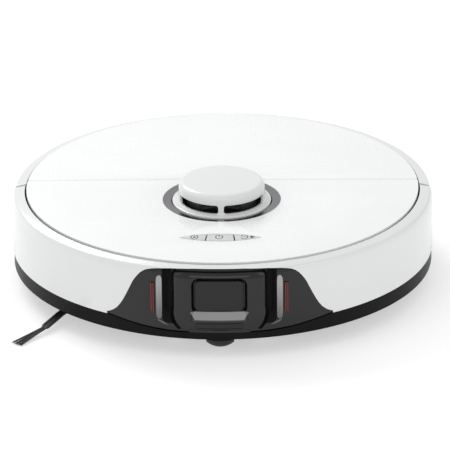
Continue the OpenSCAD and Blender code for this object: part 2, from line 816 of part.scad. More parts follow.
module hub() {
  x0 = wheel_x - wheel_w / 2;
  difference() {
    rod(x0, x0 + wheel_w - 1, wheel_y, axle_z, wheel_r - 9);
    rod(x0 - 1, wheel_x - 1, wheel_y, axle_z, 4 + run);
    difference() {
      rod(x0 + wheel_w - 5, x0 + wheel_w, wheel_y, axle_z, wheel_r - 12);
      rod(x0 + wheel_w - 6, x0 + wheel_w + 1, wheel_y, axle_z, 7);
    }
  }
}

module hub_left() {
  color([0.3, 0.3, 0.32]) mirror([1, 0, 0]) hub();
}

module hub_right() {
  color([0.3, 0.3, 0.32]) hub();
}

module tyre() {
  x0 = wheel_x - wheel_w / 2;
  difference() {
    translate([x0, wheel_y, axle_z]) rotate([0, 90, 0]) rotate_extrude() polygon([
      [wheel_r - 8.95, 0], [wheel_r - 1.2, 0], [wheel_r, 1.8], [wheel_r, wheel_w - 1.8],
      [wheel_r - 1.2, wheel_w], [wheel_r - 8.95, wheel_w]]);
    for (a = [7.5:15:352.5]) translate([x0, wheel_y, axle_z]) rotate([a, 0, 0])
      translate([-1, wheel_r - 1.6, -1]) cube([wheel_w + 2, 3, 2]);
  }
}

module tyre_left() {
  color([0.12, 0.12, 0.12]) mirror([1, 0, 0]) tyre();
}

module tyre_right() {
  color([0.12, 0.12, 0.12]) tyre();
}

// ---- caster ----

module caster_fork() {
  color([0.16, 0.16, 0.17]) difference() {
    union() {
      post(0, -swivel_y, cup_r - 2, 2 * caster_r + 1, cup_z - 0.3);
      post(0, -swivel_y, 4, cup_z - 1, cup_z + 9);
      both() box(caster_w / 2 + 0.6, caster_w / 2 + 3, -caster_y - 4, -caster_y + 7, caster_r - 4,
        2 * caster_r + 2);
    }
    rod(-20, 20, -caster_y, caster_r, 1.5 + run);
  }
}

module caster_wheel() {
  crown = 17.4;
  half = caster_w / 2;
  color([0.1, 0.1, 0.1]) translate([0, -caster_y, caster_r]) rotate([0, 90, 0]) rotate_extrude()
    polygon(concat([[1.52, half], [1.52, -half]], [for (i = [-7:7]) let (x = i * half / 7)
      [caster_r - crown + sqrt(crown * crown - x * x), x]]));
}

module caster_axle() {
  color([0.7, 0.7, 0.72]) rod(-caster_w / 2 - 3, caster_w / 2 + 3, -caster_y, caster_r, 1.5);
}

base_shell();
side_shell();
top_deck();
lidar_ring();
lid_pin_left();
lid_pin_right();
inner_tray();
battery_pack();
battery_cover();
brush_housing();
brush_cover();
brush_gearbox();
main_board();
caster_housing();
lidar_base();
lidar_motor();
dust_bin();
bin_cover();
bin_filter();
fan_housing();
fan_motor();
exhaust_grille();
side_brush_motor();
cliff_windows();
charge_contacts();
base_screws();
bumper_switches();
arm_pin_left();
arm_pin_right();
bumper_cover();
bumper_frame();
sensor_panel();
camera_window();
laser_left();
laser_right();
dock_window();
rear_lid();
lidar_cap();
lidar_turret();
turret_lens();
lidar_pulley();
button_left();
button_middle();
button_right();
side_brush();
side_brush_bristles();
side_brush_screw();
roller_front();
roller_rear();
arm_left();
arm_right();
hub_left();
hub_right();
tyre_left();
tyre_right();
caster_fork();
caster_wheel();
caster_axle();
impeller();
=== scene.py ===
import math
import random

import bmesh
import bpy
from bpy.props import FloatProperty, FloatVectorProperty, IntProperty, PointerProperty
from mathutils import Matrix, Vector


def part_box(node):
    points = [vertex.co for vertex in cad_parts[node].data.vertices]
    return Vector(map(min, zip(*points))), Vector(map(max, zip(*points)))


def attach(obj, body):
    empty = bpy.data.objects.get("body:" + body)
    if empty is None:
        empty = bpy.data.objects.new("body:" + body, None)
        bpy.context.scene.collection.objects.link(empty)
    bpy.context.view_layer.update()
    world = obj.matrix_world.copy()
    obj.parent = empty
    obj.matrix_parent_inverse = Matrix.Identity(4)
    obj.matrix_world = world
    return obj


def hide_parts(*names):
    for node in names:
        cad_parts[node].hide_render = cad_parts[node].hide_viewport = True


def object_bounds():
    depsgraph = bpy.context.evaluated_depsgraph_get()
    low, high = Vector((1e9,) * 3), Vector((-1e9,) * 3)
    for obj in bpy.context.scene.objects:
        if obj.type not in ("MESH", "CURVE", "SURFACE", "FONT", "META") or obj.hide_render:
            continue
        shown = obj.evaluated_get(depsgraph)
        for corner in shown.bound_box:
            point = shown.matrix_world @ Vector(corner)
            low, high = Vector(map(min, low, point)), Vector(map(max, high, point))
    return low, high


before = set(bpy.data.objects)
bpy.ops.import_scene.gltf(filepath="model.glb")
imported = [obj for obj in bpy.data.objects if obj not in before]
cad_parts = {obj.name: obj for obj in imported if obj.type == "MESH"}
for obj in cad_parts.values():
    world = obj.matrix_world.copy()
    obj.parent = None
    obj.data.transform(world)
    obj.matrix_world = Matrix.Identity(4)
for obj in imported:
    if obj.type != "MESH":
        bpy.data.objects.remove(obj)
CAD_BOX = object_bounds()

bl_info = {
    "name": "Robot Vacuum",
    "version": (1, 0, 0),
    "blender": (4, 5, 0),
    "location": "View3D > Sidebar > Robot Vacuum",
    "description": "Builds the visible pieces, finishes and studio of a round robot vacuum",
    "category": "Object",
}

MM = 0.001


def corner(node, high, axis):
    """One coordinate of a node's box, in millimetres."""
    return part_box(node)[1 if high else 0][axis] / MM


# Sizes read from the frame, in millimetres
RIM = min(CAD_BOX[1][0], CAD_BOX[1][1]) / MM
DECK = corner("rear_lid", True, 2)
DECK_UNDER = DECK - 2.5
DECK_R = RIM - 12.0
SEAM_Y = corner("rear_lid", False, 1)
TOWER_Y = (corner("lidar_cap", True, 1) + corner("lidar_cap", False, 1)) / 2
TOWER_TOP = corner("lidar_cap", True, 2)
SKIRT_TOP = corner("side_shell", False, 2)


# ---------------------------------------------------------------- settings

class VacuumSizes(bpy.types.PropertyGroup):
    """Small sizes of the visible pieces."""
    edge_round: FloatProperty(
        name="Edge rounding", description="Rounding of the shells' edges",
        default=0.0006, min=0.0001, max=0.001, unit="LENGTH")
    panel_thickness: FloatProperty(
        name="Panel thickness", description="Wall of the front sensor panel",
        default=0.0012, min=0.0008, max=0.0015, unit="LENGTH")
    hairs: IntProperty(
        name="Bristles", description="Bristles in each tuft of the side brush",
        default=70, min=10, max=200)
    lathe_steps: IntProperty(
        name="Round steps", description="Facets round a full turn of the body",
        default=288, min=96, max=512)


def colour_setting(name, description, default):
    """A colour setting."""
    return FloatVectorProperty(name=name, description=description, subtype="COLOR", size=3,
                               default=default, min=0, max=1)


class VacuumColours(bpy.types.PropertyGroup):
    """Colours of the finishes."""
    shell: colour_setting("Shell", "White of the body shells", (0.86, 0.865, 0.87))
    base: colour_setting("Base", "Black of the base and its skirt", (0.004, 0.004, 0.0043))
    panel: colour_setting("Panel", "Black of the sensor panel", (0.006, 0.006, 0.0065))
    ring: colour_setting("Ring", "Grey of the ring round the tower", (0.24, 0.24, 0.25))
    buttons: colour_setting("Buttons", "Grey of the button strip", (0.62, 0.62, 0.63))
    light_bar: colour_setting("Light bar", "Red of the two light bars", (0.32, 0.02, 0.022))


def sizes():
    """The scene's sizes."""
    return bpy.context.scene.vacuum_sizes


def colours():
    """The scene's colours."""
    return bpy.context.scene.vacuum_colours


# ---------------------------------------------------------------- shader maths

class Value:
    """A shader socket that adds Math nodes when it is used in an expression."""

    def __init__(self, graph, socket):
        self.graph, self.socket = graph, socket

    def math(self, operation, *values):
        """A Math node on the values."""
        return self.graph.node("ShaderNodeMath", {"operation": operation},
                               **{"i%d" % i: v for i, v in enumerate(values)})

    def __add__(self, other):
        return self.math("ADD", self, other)

    __radd__ = __add__

    def __sub__(self, other):
        return self.math("SUBTRACT", self, other)

    def __rsub__(self, other):
        return self.math("SUBTRACT", other, self)

    def __mul__(self, other):
        return self.math("MULTIPLY", self, other)

    __rmul__ = __mul__

    def ramp(self, low, high, to_low=0.0, to_high=1.0):
        """A clamped straight-line rescale."""
        return self.graph.node("ShaderNodeMapRange", {"clamp": True}, Value=self, i1=low, i2=high,
                               i3=to_low, i4=to_high)


class Graph:
    """The node tree of one material."""

    def __init__(self, name):
        self.material = bpy.data.materials.new(name)
        self.material.use_nodes = True
        self.tree = self.material.node_tree
        self.tree.nodes.clear()
        self.surface = self.add("ShaderNodeBsdfPrincipled", {})
        out = self.add("ShaderNodeOutputMaterial", {})
        self.tree.links.new(self.surface.outputs[0], out.inputs["Surface"])

    def add(self, kind, settings):
        """A node of a type, with its settings."""
        made = self.tree.nodes.new(kind)
        for key, value in settings.items():
            setattr(made, key, value)
        return made

    def feed(self, made, sockets):
        """Set or link sockets, by name with _ for a space, or by number as i0, i1."""
        for key, value in sockets.items():
            if key[0] == "i" and key[1:].isdigit():
                target = made.inputs[int(key[1:])]
            else:
                target = made.inputs[key.replace("_", " ")]
            if isinstance(value, Value):
                self.tree.links.new(value.socket, target)
            else:
                target.default_value = value

    def node(self, kind, settings=None, out=0, **sockets):
        """A node with its settings and sockets, read at one output."""
        made = self.add(kind, settings or {})
        self.feed(made, sockets)
        return Value(self, made.outputs[out])

    def place(self, x=1000.0, y=1000.0, z=1000.0):
        """The piece's own coordinates, in millimetres unless scaled otherwise."""
        where = self.node("ShaderNodeTexCoord", out="Object")
        return self.node("ShaderNodeVectorMath", {"operation": "MULTIPLY"}, i0=where, i1=(x, y, z))

    def noise(self, scale, detail=3.0, rough=0.5, x=1000.0, y=1000.0, z=1000.0):
        """Noise over the piece's own coordinates."""
        return self.node("ShaderNodeTexNoise", Vector=self.place(x, y, z), Scale=scale,
                         Detail=detail, Roughness=rough)

    def mix(self, factor, first, second):
        """A blend of two colours."""
        return self.node("ShaderNodeMix", {"data_type": "RGBA"}, out=2, i0=factor, i6=first,
                         i7=second)

    def bump(self, height, strength, distance):
        """A bump, its distance in millimetres."""
        return self.node("ShaderNodeBump", Height=height, Strength=strength,
                         Distance=distance * MM)

    def set(self, **sockets):
        """Set the surface and give back the material."""
        self.feed(self.surface, sockets)
        return self.material


def tint(shade, amount):
    """A colour made lighter or darker, with its alpha."""
    return tuple(min(1.0, c * amount) for c in shade[:3]) + (1.0,)


def moulded(name, colour, roughness, grain, depth, coat=0.0, gloss=0.5):
    """Injection-moulded plastic: fine grain, slight shade and gloss changes, faint flow marks."""
    g = Graph(name)
    fine = g.noise(1.0 / grain, 4.0, 0.6)
    broad = g.noise(0.035, 3.0, 0.5)
    flow = g.noise(0.2, 2.0, 0.4, y=250.0)
    shade = (fine * 0.35 + broad * 0.65).ramp(0.25, 0.75)
    return g.set(
        Base_Color=g.mix(shade, tint(colour, 0.94), tint(colour, 1.06)),
        Roughness=(flow * 0.5 + fine * 0.5).ramp(0.2, 0.8, roughness * 0.85, roughness * 1.15),
        Normal=g.bump(fine, 0.35, depth),
        Specular_IOR_Level=gloss, Coat_Weight=coat, Coat_Roughness=0.06)


def lacquered(name, colour, roughness):
    """Glossy white shell: a clear top layer over faint orange peel and a trace of speckle."""
    g = Graph(name)
    peel = g.noise(0.55, 2.0, 0.5)
    broad = g.noise(0.02, 2.0, 0.5)
    speck = g.noise(5.0, 2.0, 0.7).ramp(0.68, 0.8)
    shade = (broad * 0.8 + peel * 0.2).ramp(0.3, 0.7)
    body = g.mix(shade, tint(colour, 0.985), tint(colour, 1.012))
    return g.set(
        Base_Color=g.mix(speck * 0.12, body, tint(colour, 0.93)),
        Roughness=peel.ramp(0.3, 0.7, roughness, roughness + 0.05),
        Normal=g.bump(peel, 0.03, 0.006),
        IOR=1.45, Coat_Weight=0.06, Coat_Roughness=0.1)


def piano(name, colour, roughness=0.12):
    """Polished black: hairline swirls in the gloss and faint dust."""
    g = Graph(name)
    swirl = g.noise(0.9, 5.0, 0.75, x=2600.0, z=300.0)
    dust = g.noise(9.0, 2.0, 0.8).ramp(0.7, 0.78)
    broad = g.noise(0.05, 2.0, 0.5)
    return g.set(
        Base_Color=g.mix(dust * 0.35 + broad * 0.1, tint(colour, 1.0), tint(colour, 2.2)),
        Roughness=(swirl * 0.6 + dust * 0.4).ramp(0.1, 0.8, roughness * 0.8, roughness * 1.5),
        Normal=g.bump(swirl, 0.03, 0.01),
        IOR=1.45)


# noise scales that draw lines along one axis
ACROSS = {"x": (60.0, 4000.0, 4000.0), "z": (4000.0, 4000.0, 60.0)}


def metal(name, colour, roughness, along):
    """Turned or brushed metal: fine lines across one axis."""
    g = Graph(name)
    lines = g.noise(0.9, 3.0, 0.6, *ACROSS[along])
    stain = g.noise(0.12, 3.0, 0.6)
    return g.set(
        Base_Color=g.mix(lines * 0.6 + stain * 0.4, tint(colour, 0.82), tint(colour, 1.12)),
        Metallic=1.0,
        Roughness=(lines * 0.7 + stain * 0.3).ramp(0.2, 0.8, roughness * 0.75, roughness * 1.3),
        Normal=g.bump(lines, 0.12, 0.02))


def sheen_graded_trim(name):
    """Satin dark trim with a painted highlight that brightens towards its top, and fine lines
    across.
    """
    g = Graph(name)
    height = g.node("ShaderNodeSeparateXYZ", out="Z", Vector=g.place())
    lines = g.noise(0.9, 3.0, 0.6, *ACROSS["z"])
    # painted highlight: the colour grows lighter with height, standing in for the reflection on the
    # bevels
    return g.set(
        Base_Color=g.mix(height.ramp(30.0, 62.0) * 0.85 + lines * 0.15, (0.1, 0.1, 0.1, 1),
                         (0.36, 0.36, 0.36, 1)),
        Metallic=1.0,
        Roughness=lines.ramp(0.2, 0.8, 0.26, 0.4),
        Normal=g.bump(lines, 0.1, 0.02))


def rubbery(name, colour, roughness, grain, dust):
    """Soft rubber: matte skin, dust held in the low spots."""
    g = Graph(name)
    skin = g.noise(1.0 / grain, 5.0, 0.7)
    broad = g.noise(0.09, 4.0, 0.6)
    held = (skin * broad).ramp(0.22, 0.42)
    return g.set(
        Base_Color=g.mix(held * dust, tint(colour, 1.0), tint((0.25, 0.24, 0.22), 1.0)),
        Roughness=skin.ramp(0.2, 0.8, roughness * 0.88, roughness * 1.12),
        Normal=g.bump(skin, 0.4, 0.04), IOR=1.45)


def tinted(name, colour, glow, roughness=0.08):
    """Dark window: deep, with a slight colour of its own, very smooth."""
    g = Graph(name)
    depth = g.noise(0.06, 2.0, 0.5)
    fleck = g.noise(7.0, 2.0, 0.7).ramp(0.7, 0.8)
    return g.set(
        Base_Color=g.mix(depth.ramp(0.3, 0.7) * 0.6, tint(colour, 1.0),
                         tuple(c + k * 0.1 for c, k in zip(colour, glow)) + (1.0,)),
        Roughness=(depth * 0.5 + fleck * 0.5).ramp(0.0, 1.0, roughness, roughness * 2.0),
        Normal=g.bump(depth, 0.02, 0.01), IOR=1.42)


def light_bar_finish(name, colour):
    """Red lens with fine vertical flutes and a dull glow behind."""
    g = Graph(name)
    flute = g.node("ShaderNodeTexWave", {"bands_direction": "X"}, Vector=g.place(), Scale=1.4,
                   Distortion=0.3)
    core = g.noise(0.15, 2.0, 0.5).ramp(0.3, 0.7)
    return g.set(
        Base_Color=g.mix(flute * 0.5 + core * 0.3, tint(colour, 0.6), tint(colour, 1.3)),
        Roughness=flute.ramp(0.0, 1.0, 0.14, 0.3),
        Normal=g.bump(flute, 0.2, 0.05), IOR=1.49,
        Emission_Color=tint(colour, 1.0), Emission_Strength=0.05)


def circuit(name):
    """Green board: solder mask over copper runs, bright pads."""
    g = Graph(name)
    where = g.place()
    run = g.node("ShaderNodeTexBrick", {"offset": 0.5}, out="Fac", Vector=where, Scale=0.35,
                 Mortar_Size=0.03, Brick_Width=0.9, Row_Height=0.3)
    pad = g.node("ShaderNodeTexVoronoi", Vector=where, Scale=0.35).ramp(0.1, 0.16, 1.0, 0.0)
    mask = g.mix(run, (0.01, 0.13, 0.05, 1), (0.02, 0.24, 0.1, 1))
    return g.set(Base_Color=g.mix(pad, mask, (0.75, 0.62, 0.35, 1)), Metallic=pad * 0.9,
                 Roughness=pad.ramp(0, 1, 0.42, 0.25), Normal=g.bump(run + pad, 0.3, 0.03),
                 Coat_Weight=0.3)


def shrink_wrap(name, colour):
    """Printed film drawn tight over battery cells."""
    g = Graph(name)
    cell = g.node("ShaderNodeTexWave", {"bands_direction": "X"}, Vector=g.place(), Scale=0.0157)
    crease = g.noise(0.3, 5.0, 0.7, z=300.0)
    return g.set(Base_Color=g.mix(crease.ramp(0.3, 0.8), tint(colour, 0.9), tint(colour, 1.3)),
                 Roughness=crease.ramp(0.2, 0.8, 0.2, 0.38),
                 Normal=g.bump(cell + crease * 0.1, 0.5, 0.6), Coat_Weight=0.4)


def pleated(name):
    """Folded filter paper with loose fibres and grey dust in the folds."""
    g = Graph(name)
    fold = g.node("ShaderNodeTexWave", {"bands_direction": "X"}, Vector=g.place(), Scale=0.1)
    fibre = g.noise(3.0, 6.0, 0.8)
    dirt = (1 - fold) * fibre
    return g.set(Base_Color=g.mix(dirt, (0.78, 0.76, 0.7, 1), (0.4, 0.39, 0.36, 1)),
                 Roughness=fibre.ramp(0, 1, 0.8, 0.98), Normal=g.bump(fold + fibre * 0.3, 0.6, 0.3))


def smoky(name, colour):
    """Smoke-tinted bin plastic with fine scratches from emptying."""
    g = Graph(name)
    scratch = g.noise(1.2, 6.0, 0.8, x=3000.0, y=200.0)
    haze = g.noise(0.08, 3.0, 0.5)
    return g.set(Base_Color=g.mix(haze, tint(colour, 0.8), tint(colour, 1.3)),
                 Roughness=(scratch * 0.7 + haze * 0.3).ramp(0.2, 0.8, 0.14, 0.34),
                 Normal=g.bump(scratch, 0.06, 0.02), Coat_Weight=0.3)


def nylon(name, colour):
    """Bristle filament: colour drifts from hair to hair and towards the tip."""
    g = Graph(name)
    hair = g.noise(2.2, 2.0, 0.5, z=200.0)
    return g.set(Base_Color=g.mix(hair.ramp(0.3, 0.7), tint(colour, 0.6), tint(colour, 1.8)),
                 Roughness=hair.ramp(0.2, 0.8, 0.35, 0.55), IOR=1.53)


def studio_floor(name):
    """Seamless paper: almost white with a soft fibre."""
    g = Graph(name)
    fibre = g.noise(0.5, 4.0, 0.6)
    return g.set(Base_Color=g.mix(fibre, (0.56, 0.56, 0.56, 1), (0.6, 0.6, 0.6, 1)),
                 Roughness=fibre.ramp(0, 1, 0.75, 0.9), Specular_IOR_Level=0.2,
                 Emission_Color=(1, 1, 1, 1), Emission_Strength=0.5)


def finish_table(c):
    """Every finish: its maker and the maker's values."""
    return {
        # painted shade: the shells take the deck's white made darker, for the lesser light on their
        # sides
        "shell_white": (lacquered, tint(c.shell, 0.86), 0.16),
        "deck_white": (lacquered, c.shell, 0.24),
        "base_black": (moulded, c.base, 0.4, 0.4, 0.04, 0.0, 0.1),
        "panel_black": (piano, c.panel),
        "frame_black": (moulded, (0.02, 0.02, 0.021), 0.5, 0.4, 0.04),
        "ring_grey": (metal, c.ring, 0.2, "z"),
        # painted highlight on the slots' bevels and on the crescents at their feet
        "trim_metal": (sheen_graded_trim,),
        # painted reflection: the chamfer under the camera window is made a lighter satin
        "sill_metal": (metal, (0.21, 0.21, 0.215), 0.32, "x"),
        # painted shade: a near-black matte sheet darkens the side slots
        "slot_black": (moulded, (0.004, 0.004, 0.004), 0.6, 0.4, 0.03, 0.0, 0.08),
        "button_grey": (moulded, c.buttons, 0.28, 0.3, 0.006, 0.25),
        "icon_ink": (moulded, (0.05, 0.05, 0.052), 0.4, 0.2, 0.004),
        "turret_black": (moulded, (0.022, 0.022, 0.024), 0.42, 0.5, 0.03),
        "window_black": (tinted, (0.004, 0.004, 0.005), (0.01, 0.01, 0.012)),
        "infrared_window": (tinted, (0.007, 0.006, 0.0065), (0.02, 0.0, 0.0)),
        "light_red": (light_bar_finish, c.light_bar),
        "tray_grey": (moulded, (0.05, 0.05, 0.054), 0.5, 0.5, 0.05),
        "housing_grey": (moulded, (0.075, 0.076, 0.08), 0.52, 0.45, 0.05),
        "arm_grey": (moulded, (0.06, 0.06, 0.064), 0.5, 0.5, 0.05),
        "hub_grey": (moulded, (0.11, 0.11, 0.115), 0.44, 0.4, 0.04),
        "fan_grey": (moulded, (0.09, 0.09, 0.095), 0.4, 0.4, 0.03),
        "grille_grey": (moulded, (0.12, 0.12, 0.125), 0.46, 0.35, 0.04),
        "smoky_plastic": (smoky, (0.07, 0.073, 0.08)),
        "bin_lid": (moulded, (0.09, 0.095, 0.105), 0.36, 0.35, 0.03, 0.15),
        "pin_steel": (metal, (0.56, 0.56, 0.57), 0.28, "x"),
        "can_steel": (metal, (0.6, 0.6, 0.6), 0.34, "z"),
        "contact_plate": (metal, (0.78, 0.74, 0.64), 0.2, "x"),
        "tyre_rubber": (rubbery, (0.018, 0.018, 0.018), 0.7, 0.4, 0.35),
        "caster_rubber": (rubbery, (0.006, 0.006, 0.006), 0.6, 0.6, 0.06),
        "roller_rubber": (rubbery, (0.045, 0.047, 0.05), 0.55, 0.35, 0.2),
        "arm_rubber": (rubbery, (0.022, 0.022, 0.023), 0.5, 0.35, 0.12),
        "bristle_nylon": (nylon, (0.02, 0.02, 0.021)),
        "filter_paper": (pleated,),
        "battery_wrap": (shrink_wrap, (0.03, 0.07, 0.25)),
        "board_green": (circuit,),
        "floor_paper": (studio_floor,),
    }


FINISH = {}


def finish(name):
    """A finish by name, made once."""
    if name not in FINISH:
        maker, *values = finish_table(colours())[name]
        FINISH[name] = maker(name, *values)
    return FINISH[name]


# ---------------------------------------------------------------- mesh helpers

def applied(piece):
    """Bake the piece's modifiers into its mesh."""
    bpy.context.view_layer.update()
    graph = bpy.context.evaluated_depsgraph_get()
    made = bpy.data.meshes.new_from_object(piece.evaluated_get(graph))
    piece.modifiers.clear()
    old = piece.data
    piece.data = made
    made.name = piece.name
    bpy.data.meshes.remove(old)
    return piece


def faced(piece, change=None):
    """Face the piece outward, after a change to its mesh if one is given."""
    bm = bmesh.new()
    bm.from_mesh(piece.data)
    if change:
        change(bm)
    bmesh.ops.recalc_face_normals(bm, faces=bm.faces)
    bm.to_mesh(piece.data)
    bm.free()
    return piece


def linked(name, data):
    """A new object in the scene."""
    made = bpy.data.objects.new(name, data)
    bpy.context.collection.objects.link(made)
    return made


def removed(piece):
    """Take a helper piece away with its mesh."""
    mesh = piece.data
    bpy.data.objects.remove(piece)
    bpy.data.meshes.remove(mesh)


def piece_of(name, points, faces):
    """A closed mesh from points in millimetres."""
    mesh = bpy.data.meshes.new(name)
    mesh.from_pydata([tuple(c * MM for c in p) for p in points], [], faces)
    return faced(linked(name, mesh), lambda bm: bmesh.ops.remove_doubles(
        bm, verts=bm.verts, dist=1e-7))


def swept(name, rings, closed_path=False):
    """Join equal rings of points into a tube; an open path is capped."""
    n = len(rings[0])
    points = [p for ring in rings for p in ring]
    faces = []
    last = len(rings) if closed_path else len(rings) - 1
    for i in range(last):
        a, b = i * n, ((i + 1) % len(rings)) * n
        for j in range(n):
            k = (j + 1) % n
            faces.append((a + j, a + k, b + k, b + j))
    if not closed_path:
        faces.append(tuple(range(n))[::-1])
        faces.append(tuple(range((len(rings) - 1) * n, len(rings) * n)))
    return piece_of(name, points, faces)


def lathe(name, profile, centre=(0.0, 0.0), steps=None):
    """Turn a closed (radius, z) outline round a vertical axis."""
    steps = steps or sizes().lathe_steps
    rings = []
    for i in range(steps):
        a = 2 * math.pi * i / steps
        rings.append([(centre[0] + r * math.cos(a), centre[1] + r * math.sin(a), z)
                      for r, z in profile])
    return swept(name, rings, True)


def prism(name, outline, low, high):
    """Raise a flat outline from low to high."""
    n = len(outline)
    points = [(x, y, low) for x, y in outline] + [(x, y, high) for x, y in outline]
    faces = [tuple(range(n))[::-1], tuple(range(n, 2 * n))]
    faces += [(i, (i + 1) % n, n + (i + 1) % n, n + i) for i in range(n)]
    return piece_of(name, points, faces)


def moved(piece, place):
    """Move each point by a rule in millimetres."""
    for v in piece.data.vertices:
        v.co = [c * MM for c in place(*(c / MM for c in v.co))]
    return piece


def split(piece):
    """Split the wide faces, so that they can follow a bend."""
    return faced(piece, lambda bm: bmesh.ops.triangulate(
        bm, faces=[f for f in bm.faces if len(f.verts) > 4]))


def front_prism(name, outline, back, front):
    """Push an (x, z) outline along Y."""
    return faced(moved(prism(name, outline, 0, 1),
                       lambda x, z, t: (x, front + (back - front) * t, z)))


def side_prism(name, outline, left, right):
    """Push a (y, z) outline along X."""
    return moved(prism(name, outline, 0, 1), lambda y, z, t: (left + (right - left) * t, y, z))


def divided(outline, step, upright=1):
    """The outline with points added along its runs; with upright 0 only along level ones."""
    dense = []
    for p, q in zip(outline, outline[1:] + outline[:1]):
        n = max(1, int(math.hypot(q[0] - p[0], upright * (q[1] - p[1])) / step))
        dense += [(p[0] + (q[0] - p[0]) * k / n, p[1] + (q[1] - p[1]) * k / n) for k in range(n)]
    return dense


def cut(piece, *tools, operation="DIFFERENCE"):
    """Boolean the tools into the piece and remove them."""
    for tool in tools:
        m = piece.modifiers.new("cut", "BOOLEAN")
        m.operation, m.solver, m.object = operation, "EXACT", tool
        applied(piece)
    for tool in tools:
        removed(tool)
    return piece


def rounded(piece, width, segments=3, angle=35.0):
    """Round the sharp edges."""
    m = piece.modifiers.new("round", "BEVEL")
    m.width, m.segments, m.limit_method = width, segments, "ANGLE"
    m.angle_limit = math.radians(angle)
    m.use_clamp_overlap = True
    return applied(piece)


def dressed(piece, body, look, replaces=(), sharp=32.0):
    """Give a piece its finish and its body, and hide the nodes it replaces."""
    piece.data.materials.clear()
    piece.data.materials.append(finish(look))
    for face in piece.data.polygons:
        face.use_smooth = True
        face.material_index = 0
    piece.data.set_sharp_from_angle(angle=math.radians(sharp))
    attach(piece, body)
    if replaces:
        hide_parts(*replaces)
    return piece


def joined(name, pieces):
    """One object from several closed meshes."""
    bm = bmesh.new()
    for piece in pieces:
        bm.from_mesh(piece.data)
        removed(piece)
    mesh = bpy.data.meshes.new(name)
    bm.to_mesh(mesh)
    bm.free()
    return linked(name, mesh)


def arc(cx, cy, r, a0, a1, steps):
    """Points on a circle, angles in degrees."""
    angles = [math.radians(a0 + (a1 - a0) * i / steps) for i in range(steps + 1)]
    return [(cx + r * math.cos(a), cy + r * math.sin(a)) for a in angles]


def round_box(x0, x1, y0, y1, r, steps=6):
    """Outline of a rectangle with round corners."""
    return (arc(x1 - r, y1 - r, r, 0, 90, steps) + arc(x0 + r, y1 - r, r, 90, 180, steps)
            + arc(x0 + r, y0 + r, r, 180, 270, steps) + arc(x1 - r, y0 + r, r, 270, 360, steps))


def unit(x):
    """The value held between 0 and 1."""
    return min(1.0, max(0.0, x))


def smooth(a, b, x):
    """Soft step from 0 at a to 1 at b."""
    t = unit((x - a) / (b - a))
    return t * t * (3 - 2 * t)


def between(table, x):
    """Linear reading of a sorted (x, y) table."""
    if x <= table[0][0]:
        return table[0][1]
    for (x0, y0), (x1, y1) in zip(table, table[1:]):
        if x <= x1:
            return y0 + (y1 - y0) * (x - x0) / (x1 - x0)
    return table[-1][1]


# ---------------------------------------------------------------- outer shells

# how far forward the bumper's inner lip is centred, and how far the rear shell's ends stand in
LIP_SHIFT, END_STEP = 1.8, 1.3


def rim_outer(foot, inset=0.0):
    """Outer line of the shells' wall, from its foot over the sloped band."""
    line = [(RIM - inset, foot), (RIM - inset, DECK - 12.0)]
    # quarter round from the wall to the band
    for i in range(1, 10):
        t = math.radians(90 * i / 10)
        line.append((RIM - inset - (2.9 - inset) * (1 - math.cos(t)),
                     DECK - 12.0 + 9.4 * math.sin(t)))
    return line + [(RIM - 3.4, DECK - 2.42), (RIM - 5.0, DECK - 2.1)]


def rim_profile(foot, inset=0.0):
    """Outline of the shells' wall; the points of its inner lip carry a flag."""
    wall = 2.2
    lip = [(DECK_R + 1.6, DECK - 0.85), (DECK_R + 1.0, DECK - 0.78), (DECK_R + 0.9, DECK - 2.9)]
    inner = [(RIM - 5.0, DECK - 4.4)]
    for i in range(8, 0, -1):
        t = math.radians(90 * i / 9)
        inner.append((RIM - wall - 2.2 * (1 - math.cos(t)), DECK - 13.0 + 8.0 * math.sin(t)))
    inner += [(RIM - wall, DECK - 14.0), (RIM - wall, foot)]
    return [(r, z, flag) for line, flag in ((rim_outer(foot, inset), False), (lip, True),
                                            (inner, False)) for r, z in line]


PANEL_HIGH = [(0, 76.8), (20, 76.75), (40, 76.35), (50, 75.6), (54.8, 74.9), (58.5, 74.0),
              (61.5, 72.5), (64, 70.5), (66, 68.1), (68, 65.3), (70.2, 61.5), (75.1, 50.5),
              (78, 44.5), (80.4, 40.3), (83, 36.7), (86, 33.9), (89, 32.0), (91.3, 31.0)]
PANEL_LOW = [(0, 22.5), (20, 22.55), (40, 22.75), (52.6, 23.6), (64.6, 24.9), (75, 26.4),
             (84, 28.0), (91.3, 29.2)]


def panel_outline(grow):
    """Outline of the sensor panel seen from the front, both halves."""
    high = [(x, z + grow) for x, z in PANEL_HIGH]
    low = [(x, z - grow) for x, z in PANEL_LOW]
    right = low + [(high[-1][0] + grow, high[-1][1] - grow)] + high[::-1]
    left = [(-x, z) for x, z in right[::-1] if x > 0.01]
    return right + left


def half_round(name, ring):
    """A shell round half the body, from its outline at each share of the way."""
    steps = sizes().lathe_steps // 2
    return swept(name, [ring(i / steps) for i in range(steps + 1)])


class VACUUM_OT_bumper_cover(bpy.types.Operator):
    """White bumper cover, wrapped round the front half, cut out for the sensor panel"""
    bl_idname = "vacuum.bumper_cover"
    bl_label = "Bumper cover"

    def execute(self, context):
        end = corner("bumper_cover", True, 1)
        foot = corner("bumper_cover", False, 2)

        def place(u, r, z, lip):
            """A point of the wall, from one end at u = 0 round the front to the other."""
            half = math.asin(end / r)
            a = (math.pi - half) * (1 - u) + (2 * math.pi + half) * u
            if lip:
                # the lip leaves room for the bumper's stroke
                r = (math.sqrt((r + 0.4) ** 2 - (LIP_SHIFT * math.cos(a)) ** 2)
                     - LIP_SHIFT * math.sin(a))
            return r * math.cos(a), r * math.sin(a), z

        cover = half_round("white_bumper", lambda u: [place(u, *p) for p in rim_profile(foot)])
        cut(cover, front_prism("tool", panel_outline(0.15), -100, -200))
        rounded(cover, sizes().edge_round * 0.8)
        dressed(cover, "bumper", "shell_white", ("bumper_cover",), 40)
        return {"FINISHED"}


